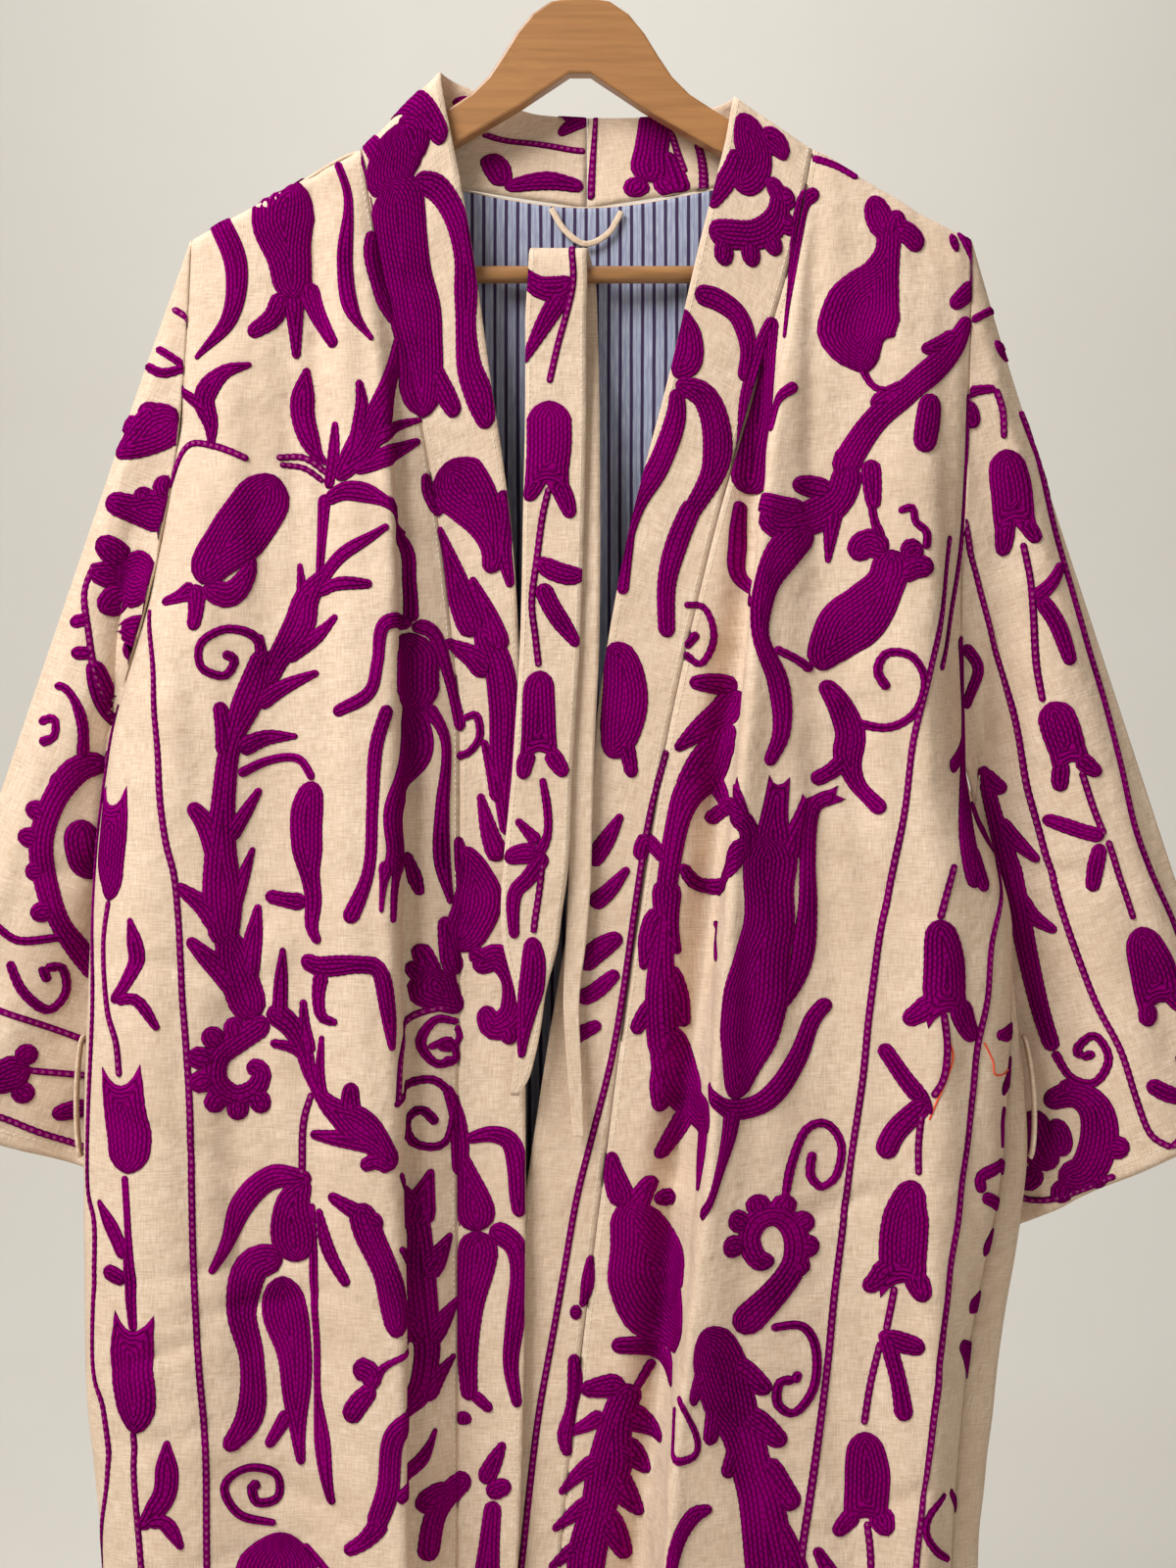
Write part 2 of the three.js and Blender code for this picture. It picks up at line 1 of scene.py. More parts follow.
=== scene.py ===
# %% [markdown]
# # A suzani kimono jacket on its hanger
#
# A long, open, lined jacket of cream canvas hangs flat on a wooden hanger. Its cloth is covered with vines, tulips,
# pomegranates and scrolls worked in purple wool chain stitch, and its belt is folded over the hanger's bar.
#
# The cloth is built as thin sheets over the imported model's walls, from the same fold lines. The needlework is built
# as raised strips that follow each stroke of the pattern across the cloth. All sizes below are in millimetres, and
# they become metres where a mesh is made. "Right" and "left" are the wearer's, so the right front has negative x.

import math

import bmesh
import bpy
import numpy as np
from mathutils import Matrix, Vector
from mathutils.kdtree import KDTree


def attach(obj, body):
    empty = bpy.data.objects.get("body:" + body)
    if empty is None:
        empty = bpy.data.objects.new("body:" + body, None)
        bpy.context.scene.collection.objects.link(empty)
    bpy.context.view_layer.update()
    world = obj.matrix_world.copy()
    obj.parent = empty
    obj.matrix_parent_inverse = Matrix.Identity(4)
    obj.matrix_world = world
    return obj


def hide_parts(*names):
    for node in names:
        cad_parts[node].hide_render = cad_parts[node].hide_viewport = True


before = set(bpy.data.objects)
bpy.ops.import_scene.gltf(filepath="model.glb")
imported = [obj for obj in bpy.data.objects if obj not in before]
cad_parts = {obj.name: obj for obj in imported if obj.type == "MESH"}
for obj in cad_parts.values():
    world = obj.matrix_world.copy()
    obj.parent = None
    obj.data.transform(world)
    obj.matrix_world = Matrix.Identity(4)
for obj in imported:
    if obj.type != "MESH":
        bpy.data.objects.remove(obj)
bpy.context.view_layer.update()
MM = 0.001

# %% [markdown]
# ## Camera
#
# The camera stands 1.25 m in front of the hanger and looks straight ahead, level with the jacket's waist. The hem
# hangs below its frame. Its angle could be set by `data.angle`; a lens on a 24 mm high sensor says the same and reads
# like a real camera.

# %% The camera
EYE = np.array([4.5, -1250.0, -515.6])
camera_data = bpy.data.cameras.new("camera")
camera_data.sensor_fit = "VERTICAL"
camera_data.sensor_height = 24
camera_data.lens = 33.07
camera_data.clip_start = 0.01
camera = bpy.data.objects.new("camera", camera_data)
camera.location = EYE * MM
camera.rotation_euler = (math.radians(90), 0, 0)
bpy.context.collection.objects.link(camera)
bpy.context.scene.camera = camera

# %% [markdown]
# ## Tools for materials
#
# Colours are written as the usual hex codes and turned into linear light by one function. `Nodes` adds nodes to a
# material: each call makes one node, sets it up and links what it is given. The editor's noodles could be copied one
# by one, but written as sums and products a finish stays short enough to read.


# %% Colours and nodes
def linear(code):
    channels = [int(code[k : k + 2], 16) / 255 for k in (1, 3, 5)]
    return (*[c / 12.92 if c <= 0.04045 else ((c + 0.055) / 1.055) ** 2.4 for c in channels], 1.0)


class Nodes:
    def __init__(self, name):
        self.material = bpy.data.materials.new(name)
        self.material.use_nodes = True
        self.tree = self.material.node_tree
        self.tree.nodes.clear()

    def add(self, kind, inputs=None, **settings):
        node = self.tree.nodes.new(kind)
        for key, value in settings.items():
            setattr(node, key, value)
        for key, value in (inputs or {}).items():
            if isinstance(value, bpy.types.NodeSocket):
                self.tree.links.new(value, node.inputs[key])
            else:
                node.inputs[key].default_value = value
        return node

    def math(self, operation, *values):
        return self.add("ShaderNodeMath", dict(enumerate(values)), operation=operation).outputs[0]

    def mix(self, factor, first, second):
        inputs = {0: factor, 6: first, 7: second}
        return self.add("ShaderNodeMix", inputs, data_type="RGBA", clamp_factor=True).outputs[2]

    def ramp(self, value, low, high):
        """0 below low, 1 above high, smooth between."""
        inputs = {0: value, 1: low, 2: high, 3: 0.0, 4: 1.0}
        return self.add("ShaderNodeMapRange", inputs, interpolation_type="SMOOTHSTEP").outputs[0]

    def noise(self, vector, scale, detail=2.0, roughness=0.5):
        inputs = {"Vector": vector, "Scale": scale, "Detail": detail, "Roughness": roughness}
        return self.add("ShaderNodeTexNoise", inputs).outputs["Fac"]

    def stretched(self, vector, x, y, z=1.0):
        inputs = {0: vector, 1: (x, y, z)}
        return self.add("ShaderNodeVectorMath", inputs, operation="MULTIPLY").outputs[0]

    def finish(self, colour, roughness, height=None, distance=0.001, strength=1.0, **extra):
        inputs = {"Base Color": colour, "Roughness": roughness, **extra}
        if height is not None:
            bump = self.add("ShaderNodeBump", {"Height": height, "Distance": distance, "Strength": strength})
            inputs["Normal"] = bump.outputs[0]
        shader = self.add("ShaderNodeBsdfPrincipled", inputs)
        self.add("ShaderNodeOutputMaterial", {"Surface": shader.outputs[0]})
        return self.material


# %% [markdown]
# ## Canvas
#
# The ground is an unbleached cotton canvas. Its plain weave is about one millimetre a thread, and thicker slubs run
# both ways. The pattern reads the flat coordinates of the cloth, so the threads follow each panel's own grain. The
# bump also holds soft rumples from 7 to 70 mm across, much larger than the threads. Modelled threads would be too many
# faces for a coat, so two crossed sine waves raise them in the bump alone.


# %% Canvas
WARP_THREAD, WEFT_THREAD = 0.0011, 0.0012


def canvas_material(name, ground, shade):
    n = Nodes(name)
    flat = n.add("ShaderNodeUVMap", uv_map="flat").outputs[0]
    parts = n.add("ShaderNodeSeparateXYZ", {0: flat})
    warp = n.math("SINE", n.math("MULTIPLY", parts.outputs[0], 2 * math.pi / WARP_THREAD))
    weft = n.math("SINE", n.math("MULTIPLY", parts.outputs[1], 2 * math.pi / WEFT_THREAD))
    weave = n.math("MULTIPLY", n.math("MULTIPLY", warp, weft), 0.5)
    slub_up = n.noise(n.stretched(flat, 1300.0, 110.0), 1.0, 2.0)
    slub_across = n.noise(n.stretched(flat, 110.0, 1200.0), 1.0, 2.0)
    slubs = n.math("ADD", slub_up, slub_across)
    patches = n.noise(flat, 18.0, 3.0)
    colour = n.mix(n.ramp(slubs, 0.55, 1.45), linear(shade), linear(ground))
    colour = n.mix(n.math("MULTIPLY", n.ramp(patches, 0.35, 0.7), 0.3), colour, linear(shade))
    rumple = n.math("ADD", n.math("MULTIPLY", n.noise(flat, 45.0, 3.0), 4.2), n.noise(flat, 150.0, 2.0))
    rumple = n.math("ADD", rumple, n.math("MULTIPLY", n.noise(flat, 15.0, 2.0), 7.0))
    height = n.math("ADD", n.math("ADD", n.math("MULTIPLY", weave, 0.12), n.math("MULTIPLY", slubs, 0.3)), rumple)
    return n.finish(colour, 0.9, height, 0.001, 0.6, **{"Sheen Weight": 0.05, "Specular IOR Level": 0.2})


canvas = canvas_material("canvas", "#efdac3", "#cfb296")

# %% [markdown]
# ## Lining
#
# A thin striped cotton, pale blue-grey with deep purple stripes 6.7 mm apart and a faint line between them. The stripes
# could be a picture on the cloth; as the fraction of its flat x they stay sharp, and a little noise lets them wander.

# %% Striped lining
STRIPE_STEP = 0.0067

n = Nodes("lining")
flat = n.add("ShaderNodeUVMap", uv_map="flat").outputs[0]
wander = n.math("MULTIPLY", n.math("SUBTRACT", n.noise(n.stretched(flat, 30.0, 8.0), 1.0), 0.5), 0.0012)
across = n.math("ADD", n.add("ShaderNodeSeparateXYZ", {0: flat}).outputs[0], wander)
phase = n.math("FRACT", n.math("DIVIDE", across, STRIPE_STEP))
from_stripe = n.math("ABSOLUTE", n.math("SUBTRACT", phase, 0.5))
stripe = n.math("SUBTRACT", 1.0, n.ramp(from_stripe, 0.13, 0.17))
faint = n.ramp(from_stripe, 0.43, 0.48)
threads = n.noise(n.stretched(flat, 900.0, 90.0), 1.0, 2.0)
ground = n.mix(n.ramp(threads, 0.3, 0.7), linear("#9298b0"), linear("#b0b6c8"))
ground = n.mix(faint, ground, linear("#8f90b0"))
colour = n.mix(stripe, ground, linear("#34204a"))
lining = n.finish(colour, 0.85, threads, 0.0004, 0.5)

# %% [markdown]
# ## Wool
#
# The needlework's coordinates run across a stroke, from its edge inwards, and along it. The wool lies in rows
# 2.3 mm wide that follow the outline, and each row is a chain of links 3.8 mm long, set half a link off its
# neighbour. A line of a single row has larger links, 3.6 mm by 4.2 mm, and shows a little canvas through the middle
# of each one. Single stitches could be placed as instances, but there are tens of thousands, so they are bump.


# %% Wool and thread
def wool_material(name, row_width, link_length, open_links):
    n = Nodes(name)
    sewn = n.add("ShaderNodeUVMap", uv_map="sewn").outputs[0]
    parts = n.add("ShaderNodeSeparateXYZ", {0: sewn})
    place = n.add("ShaderNodeTexCoord").outputs["Object"]
    loose = n.math("SUBTRACT", n.noise(place, 240.0, 2.0), 0.5)
    row = n.math("ADD", n.math("DIVIDE", parts.outputs[0], row_width), n.math("MULTIPLY", loose, 0.35))
    beside = n.math("ABSOLUTE", n.math("SUBTRACT", n.math("MULTIPLY", n.math("FRACT", row), 2.0), 1.0))
    offset = n.math("MULTIPLY", n.math("FLOOR", row), 0.5)
    run = n.math("ADD", n.math("DIVIDE", parts.outputs[1], link_length), offset)
    run = n.math("ADD", run, n.math("MULTIPLY", beside, 0.35))
    run = n.math("ADD", run, n.math("MULTIPLY", loose, 0.5))
    link = n.math("ABSOLUTE", n.math("SUBTRACT", n.math("MULTIPLY", n.math("FRACT", run), 2.0), 1.0))
    row_top = n.math("SUBTRACT", 1.0, n.math("POWER", beside, 2.0))
    link_top = n.math("SUBTRACT", 1.0, n.math("POWER", link, 2.5))
    strand = n.noise(n.stretched(sewn, 2600.0, 500.0), 1.0, 2.0)
    height = n.math("MULTIPLY", row_top, n.math("ADD", n.math("MULTIPLY", link_top, 0.6), 0.4))
    height = n.math("ADD", height, n.math("MULTIPLY", strand, 0.35))
    # Painted shade in the stitches' grooves, painted highlight on their tops, and random tone from noise.
    relief_shade_and_tone = n.math("ADD", n.math("MULTIPLY", height, 0.7), n.math("MULTIPLY", n.noise(place, 28.0, 3.0), 0.6))
    colour = n.mix(n.ramp(relief_shade_and_tone, 0.25, 1.25), linear("#36002a"), linear("#900070"))
    if open_links:
        middle = n.ramp(parts.outputs[0], 0.0011, 0.0014)
        gap = n.math("SUBTRACT", 1.0, n.ramp(link, 0.35, 0.5))
        hole = n.math("MULTIPLY", middle, gap)
        colour = n.mix(n.math("MULTIPLY", hole, 0.12), colour, linear("#cdb694"))
        height = n.math("SUBTRACT", height, n.math("MULTIPLY", hole, 0.8))
    return n.finish(colour, 0.8, height, 0.0009, 0.8, **{"Specular IOR Level": 0.0})


wool = wool_material("wool", 0.0023, 0.0038, open_links=False)
wool_line = wool_material("wool_line", 0.0036, 0.0042, open_links=True)


def thread_material(name, light, dark):
    n = Nodes(name)
    place = n.add("ShaderNodeTexCoord").outputs["Object"]
    twist = n.noise(n.stretched(place, 1500.0, 1500.0, 700.0), 1.0, 2.0)
    return n.finish(n.mix(twist, linear(dark), linear(light)), 0.7, twist, 0.0003, 0.5)


cotton = thread_material("cotton_thread", "#f2e6d2", "#cdbb9c")
loose_red = thread_material("loose_red_thread", "#ff5a2c", "#c93410")

# %% [markdown]
# ## Hanger
#
# The hanger's body is varnished beech, sawn flat: its grain runs from end to end, with small darker flecks. The bar is
# a darker turned dowel, and the hook is bright steel wire with fine drawing marks. Their solids already have the right
# shape, so they stay and only get finishes: noise stretched along the grain costs less than modelled rings.


# %% Wood and wire
def wood_material(name, light, dark, along):
    n = Nodes(name)
    place = n.add("ShaderNodeTexCoord").outputs["Object"]
    drift = n.math("MULTIPLY", n.noise(n.stretched(place, 4.0, 40.0, 14.0), 1.0, 2.0), 9.0)
    grain = {0: n.stretched(place, along, 90.0, 210.0), 1: n.add("ShaderNodeCombineXYZ", {1: drift}).outputs[0]}
    rings = n.noise(n.add("ShaderNodeVectorMath", grain, operation="ADD").outputs[0], 1.0, 4.0, 0.6)
    flecks = n.noise(n.stretched(place, 160.0, 1400.0, 1400.0), 1.0, 2.0)
    colour = n.mix(n.ramp(rings, 0.3, 0.75), linear(light), linear(dark))
    colour = n.mix(n.math("MULTIPLY", n.ramp(flecks, 0.6, 0.72), 0.35), colour, linear(dark))
    height = n.math("ADD", rings, n.math("MULTIPLY", flecks, 0.3))
    roughness = n.math("ADD", n.math("MULTIPLY", rings, 0.12), 0.36)
    varnish = {"Coat Weight": 0.25, "Coat Roughness": 0.3}
    return n.finish(colour, roughness, height, 0.0003, 0.35, **varnish)


n = Nodes("wire")
place = n.add("ShaderNodeTexCoord").outputs["Object"]
drawn = n.noise(n.stretched(place, 900.0, 900.0, 120.0), 1.0, 2.0)
colour = n.mix(drawn, linear("#b4b5b8"), linear("#d2d3d6"))
roughness = n.math("ADD", n.math("MULTIPLY", drawn, 0.15), 0.2)
wire = n.finish(colour, roughness, drawn, 0.0001, 0.3, Metallic=1.0)
for node, finish in (
    ("hanger_body", wood_material("beech", "#b07b48", "#9a693a", 9.0)),
    ("hanger_bar", wood_material("bar_wood", "#a97843", "#85592f", 22.0)),
    ("hanger_hook", wire),
):
    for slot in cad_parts[node].material_slots:
        slot.material = finish

# %% [markdown]
# ## The hanging cloth
#
# Each panel hangs from the shoulder in vertical fold lines. Its table has one on each line: how far the fold line's
# top end lies below the neck end of the shoulder seam, then its x and then its y at LEVELS below that same point.
# A cloth simulation could drape the coat, but a flat-hung lined coat shows the same few folds for years, and fold
# lines put each one where it belongs.

# %% Fold lines
NECK_Z = -150
LENGTH = 1117
SHOULDER_FADE = 320  # from here down a fold line has lost its drop
SHOULDER_ROUND = 9  # the cloth turns over the hanger in this height
SEAM_Y = 0.4  # half the gap at the shoulder seam
UNDERARM = 350
CANVAS_THICK = 2
GRID_STEP = 3.6
LEVELS = [0, 60, 150, 250, 350, 450, 570, 700, 820, LENGTH]


def numbers(text):
    return [float(word) for word in text.split()]


def fold_lines(table):
    rows = [[numbers(part) for part in line.split("|")] for line in table.strip().splitlines()]
    return [(drop, xs, ys) for (drop,), xs, ys in rows]


RIGHT_FRONT = fold_lines("""
0 | -126 -116 -93 -77 -69 -69 -70 -70 -70 -72 | -9 -10 -11 -12 -13 -14 -15 -16 -17 -19
1 | -128 -119 -103 -94 -93 -94 -93 -87 -85 -88 | -9 -13 -18 -22 -25 -27 -29 -31 -32 -34
4 | -133 -126 -114 -107 -108 -109 -108 -100 -98 -99 | -9 -16 -29 -37 -41 -44 -47 -50 -52 -54
13 | -150 -151 -163 -168 -171 -174 -175 -165 -160 -160 | -9 -12 -18 -24 -28 -31 -34 -35 -36 -40
33 | -185 -190 -196 -208 -222 -228 -232 -228 -222 -222 | -9 -14 -23 -30 -35 -39 -42 -45 -46 -48
48 | -214 -216 -220 -236 -263 -273 -278 -276 -266 -271 | -9 -11 -17 -19 -18 -22 -25 -28 -29 -30
52 | -222 -223 -228 -244 -272 -282 -286 -285 -274 -280 | -9 -9 -11 -10 -0.7 -0.7 -0.7 -0.7 -0.7 -0.7
""")
LEFT_FRONT = fold_lines("""
0 | 134 122 96 70 48 32 16 0 -12 -27 | -9 -10 -11 -12 -12 -12 -12 -12 -12 -13
1 | 136 124 101 82 67 54 42 26 15 4 | -9 -10 -12 -13 -14 -14 -14 -14 -15 -16
2 | 138 126 106 94 86 76 67 52 41 33 | -9 -11 -15 -17 -18 -19 -20 -21 -22 -24
4 | 141 130 114 101 93 83 74 59 48 40 | -9 -13 -28 -37 -43 -48 -52 -55 -57 -60
14 | 158 155 147 145 146 147 148 150 152 152 | -9 -12 -20 -26 -30 -33 -36 -38 -40 -42
32 | 188 188 190 192 194 196 198 196 190 186 | -9 -14 -26 -33 -38 -42 -45 -47 -48 -50
48 | 214 216 214 210 213 239 234 212 203 199 | -9 -11 -17 -19 -19 -24 -30 -33 -34 -35
52 | 222 224 222 218 221 248 242 219 210 206 | -9 -9 -11 -10 -0.5 -4 -14 -20 -22 -22
""")
BACK = fold_lines("""
52 | -222 -223 -228 -244 -272 -282 -286 -285 -274 -280 | 9 9 11 10 0.7 0.7 0.7 0.7 0.7 0.7
48 | -214 -215 -219 -234 -262 -273 -278 -277 -266 -272 | 10 11 13 13 9 9 9 10 11 12
33 | -186 -186 -188 -194 -205 -212 -216 -216 -212 -216 | 9 13 19 20 18 19 20 22 23 26
0 | -127 -131 -136 -144 -152 -156 -158 -158 -158 -160 | 10 11 14 14 14 14 15 17 17 19
4 | -123 -122 -121 -124 -128 -130 -130 -130 -130 -132 | 10.3 11 13 13 13.5 14 15 16 16 18
13 | -95 -94 -92 -90 -90 -90 -90 -90 -90 -90 | 11 11 12 13 14 15 16 16 16 18
28 | 4 4 4 4 4 4 4 4 4 4 | 14 15 18 20 21 22 23 24 25 27
13 | 101 100 98 96 95 94 92 92 90 88 | 11 11 12 13 14 15 15 16 16 17
4 | 130 128 126 124 124 124 124 122 118 114 | 10.3 11 13 14 14.5 15 15.5 16.5 16.5 17.5
0 | 134 137 141 144 147 151 152 150 145 140 | 10 11 14 15 15 15 16 17 17 18
33 | 186 186 186 184 186 196 200 196 186 180 | 9 13 19 20 18 19 21 23 23 25
48 | 214 216 214 209 212 240 252 236 222 216 | 9 10 13 13 9 9 6 6 6 7
50 | 218 220 218 213.5 216.5 246 257 239 227 221 | 9 9.5 12 11.5 5 4 -4 -8 -9 -9
52 | 222 224 222 218 221.5 248.8 242.8 219.8 210.8 206.8 | 9 9 11 10 1.2 -1.6 -12.8 -19 -21 -21
""")
NECKLINE = (4, 5, 6, 7, 8)  # the lines of BACK that start at the neckline, and don't turn over the hanger


# %% Curves through tables
def smooth(xs, ys, x):
    """A monotone cubic through a table: smooth, and it never overshoots."""
    xs, ys, x = (np.asarray(a, float) for a in (xs, ys, x))
    chord = np.diff(ys) / np.diff(xs)
    product = chord[:-1] * chord[1:]
    total = np.where(product > 0, chord[:-1] + chord[1:], 1)
    slope = np.concatenate([chord[:1], np.where(product > 0, 2 * product / total, 0), chord[-1:]])
    x = np.clip(x, xs[0], xs[-1])
    i = np.clip(np.searchsorted(xs, x, side="right") - 1, 0, len(xs) - 2)
    width, rise = xs[i + 1] - xs[i], ys[i + 1] - ys[i]
    t, start, end = (x - xs[i]) / width, slope[i] * width, slope[i + 1] * width
    return ys[i] + t * (start + t * (3 * rise - 2 * start - end + t * (start + end - 2 * rise)))


def on_line(line, rows, side, neck=False):
    """The places of a fold line on rows that start this far below the shoulder seam."""
    drop, xs, ys = line
    rows = np.asarray(rows, float)
    depth = rows + drop * np.maximum(0, 1 - rows / SHOULDER_FADE)
    turned = np.ones_like(rows) if neck else np.sqrt(1 - np.maximum(1 - rows / SHOULDER_ROUND, 0) ** 2)
    y = side * SEAM_Y + (smooth(LEVELS, ys, depth) - side * SEAM_Y) * turned
    return np.stack([smooth(LEVELS, xs, depth), y, NECK_Z - depth], axis=-1)


def arc(points):
    """The length along a row of points from its first one."""
    return np.concatenate([[0], np.cumsum(np.linalg.norm(np.diff(points, axis=0), axis=1))])


def curve(points, fine=10):
    """A smooth curve through points."""
    if len(points) == 2:
        return points[0] + (points[1] - points[0]) * np.linspace(0, 1, 2 * fine)[:, None]
    ends = np.concatenate([2 * points[:1] - points[1:2], points, 2 * points[-1:] - points[-2:-1]])
    t = np.arange(fine)[:, None] / fine
    parts = [
        b + 0.5 * t * (c - a + t * (2 * a - 5 * b + 4 * c - d + t * (3 * b - 3 * c + d - a)))
        for a, b, c, d in zip(ends, ends[1:], ends[2:], ends[3:])
    ]
    return np.concatenate([*parts, points[-1:]])


# %% A panel's grid
def panel(lines, side, columns, reference, neck=(), step=GRID_STEP):
    """A panel's grid, and its flat coordinates: across, measured from the reference line, and down."""
    over_shoulder = [0, 0.6, 1.4, 2.6, 4.4, 6.6]
    rows = np.concatenate([over_shoulder, np.arange(SHOULDER_ROUND, LENGTH, step), [LENGTH]])
    places = np.stack([on_line(line, rows, side, k in neck) for k, line in enumerate(lines)], axis=1)
    grid, across = [], []
    for row in places:
        along = arc(row)
        along = np.maximum.accumulate(along + np.arange(len(along)) * 0.01)
        s = np.linspace(0, along[-1], columns)
        grid.append(np.stack([smooth(along, row[:, axis], s) for axis in range(3)], axis=-1))
        sign = 1 if row[-1, 0] > row[0, 0] else -1
        across.append(row[reference, 0] + sign * (s - along[reference]))
    grid = np.array(grid)
    return grid, np.stack([np.array(across), grid[..., 2]], axis=-1)


def normals(grid):
    """Out of the cloth: down a column x along a row."""
    out = np.cross(np.gradient(grid, axis=0), np.gradient(grid, axis=1))
    return out / np.maximum(np.linalg.norm(out, axis=-1, keepdims=True), 1e-9)


def seen(points):
    """Where the camera sees points, as x and z in the hanger's plane."""
    scale = -EYE[1] / (points[..., 1] - EYE[1])
    return np.stack([EYE[k] + (points[..., k] - EYE[k]) * scale for k in (0, 2)], axis=-1)


# %% Placing things on a cloth
BACK_LAYER = -8  # a sleeve's cloth is on its back layer where its flat x is below this
FOLD_FLAT = 30  # creases and waves fade out this near a sleeve's upper fold
ON_CLOTH = 1.2  # a point that misses its place by less than this is on the cloth
STRETCH = 1.4  # how far a stroke may go on beyond the cloth, against how far it seems to


class Cloth:
    """A grid of cloth, on which things are placed by their flat coordinates or by where the camera sees them."""

    def __init__(self, grid, flat, out, creases=(), tube=False, waves=0.0):
        self.flat = flat
        self.hidden = tube & (flat[..., 0] < BACK_LAYER)
        self.out = normals(grid) * out
        lift = creased(flat, creases) + waves * waved(flat)
        if tube:
            lift = lift * np.clip(np.abs(flat[..., 0]) / FOLD_FLAT, 0, 1)
        self.grid = grid + self.out * lift[..., None]
        self.out = normals(self.grid) * out
        self.seen = seen(self.grid)
        self.trees = {}

    def lookup(self, key, wanted, face=None):
        """Fractional rows and columns of the points whose coordinates are wanted, and how far off each is."""
        values = getattr(self, key)
        rows, columns = values.shape[:2]
        if (key, face) not in self.trees:
            tree = KDTree(rows * columns)
            away = np.einsum("ijk,ijk->ij", self.out, self.grid - EYE) > 0
            used = {None: away | True, "outer": ~away & ~self.hidden, "inner": away}[face].reshape(-1)
            for k in np.flatnonzero(used):
                tree.insert((*values.reshape(-1, 2)[k], 0), k)
            tree.balance()
            self.trees[key, face] = tree, [np.gradient(values, axis=axis) for axis in (0, 1)]
        tree, (by_row, by_column) = self.trees[key, face]
        nearest = np.array([tree.find((a, b, 0))[1] for a, b in wanted])
        place = np.stack([nearest // columns, nearest % columns], axis=-1).astype(float)
        for _ in range(4):
            error = wanted - self.between(values, place)
            r, c = self.between(by_row, place), self.between(by_column, place)
            det = r[:, 0] * c[:, 1] - r[:, 1] * c[:, 0]
            det = np.where(np.abs(det) < 1e-6, 1e-6, det)
            step = np.stack(
                [error[:, 0] * c[:, 1] - error[:, 1] * c[:, 0], r[:, 0] * error[:, 1] - r[:, 1] * error[:, 0]], axis=-1
            )
            place = place + np.clip(step / det[:, None], -3, 3)
            place = np.clip(place, 0, [rows - 1, columns - 1])
        return place, np.linalg.norm(wanted - self.between(values, place), axis=-1)

    def between(self, values, place):
        low = np.clip(place.astype(int), 0, np.array(values.shape[:2]) - 2)
        i, j = low[:, 0], low[:, 1]
        u, v = (place - low).T[:, :, None]
        return (
            values[i, j] * (1 - u) * (1 - v)
            + values[i + 1, j] * u * (1 - v)
            + values[i, j + 1] * (1 - u) * v
            + values[i + 1, j + 1] * u * v
        )

    def place(self, flat, height):
        """The points at these flat coordinates, lifted off the cloth's middle, and whether each is on the cloth."""
        where, off = self.lookup("flat", flat)
        out = self.between(self.out, where)
        out /= np.linalg.norm(out, axis=-1, keepdims=True)
        return self.between(self.grid, where) + out * height[:, None], off < ON_CLOTH

    def from_view(self, points, face):
        """The flat coordinates of what the camera sees at these places. Those beyond the cloth go straight on."""
        where, _ = self.lookup("seen", points, face)
        beyond = points - self.between(self.seen, where)
        by_row, by_column = (self.between(slope, where) for slope in self.trees["seen", face][1])
        to_row, to_column = (self.between(np.gradient(self.flat, axis=axis), where) for axis in (0, 1))
        det = by_row[:, 0] * by_column[:, 1] - by_row[:, 1] * by_column[:, 0]
        rows = (beyond[:, 0] * by_column[:, 1] - beyond[:, 1] * by_column[:, 0]) / det
        columns = (by_row[:, 0] * beyond[:, 1] - by_row[:, 1] * beyond[:, 0]) / det
        onwards = to_row * rows[:, None] + to_column * columns[:, None]
        most = STRETCH * np.linalg.norm(beyond, axis=-1) / np.maximum(np.linalg.norm(onwards, axis=-1), 1e-6)
        return self.between(self.flat, where) + onwards * np.minimum(most, 1)[:, None]


# %% Creases and waves
def creased(flat, creases):
    """How far soft creases lift the cloth. They are shallower towards both ends."""
    lift = np.zeros(flat.shape[:2])
    for x0, z0, x1, z1, width, depth in creases:
        start, run = np.array([x0, z0]), np.array([x1 - x0, z1 - z0])
        t = np.clip(((flat - start) @ run) / (run @ run), 0, 1)
        off = np.linalg.norm(flat - start - t[..., None] * run, axis=-1)
        lift += depth * np.exp(-((off / width) ** 2)) * np.sin(math.pi * (0.12 + 0.76 * t))
    return lift


def waved(flat):
    """Shallow waves of about 1 mm: upright, slanting and level ones, faded out near the panel's seams."""
    x, z = flat[..., 0], flat[..., 1]
    waves = np.sin(x / 6.5 + 2.8 * np.sin(z / 150)) * (0.5 + 0.5 * np.sin(z / 83 + x / 57))
    waves += 0.6 * np.sin(x / 3.7 + z / 41) * (0.5 + 0.5 * np.sin(z / 61 - x / 33 + 2))
    waves += 0.6 * np.sin(z / 7.5 + x / 14) * (0.5 + 0.5 * np.sin(x / 29 + z / 120 + 1)) ** 2
    rows, columns = (np.arange(k) for k in waves.shape)
    sides = np.minimum(columns, columns[::-1])
    return waves * np.minimum(1, rows / 20)[:, None] * np.minimum(1, sides / 10)[None]


# %% [markdown]
# ## Cloth objects
#
# A grid from bmesh is moved to the cloth's points and given its flat coordinates as a UV map. Every object rides the
# hanger's root. A sheet is such a grid, thickened to both sides; its second finish is the cloth's other face. Solidify
# is chosen over a second modelled layer, because the wall then follows every later change of the grid.


# %% From a grid to an object
def new_bmesh(layer):
    bm = bmesh.new()
    bm.loops.layers.uv.new(layer)
    return bm


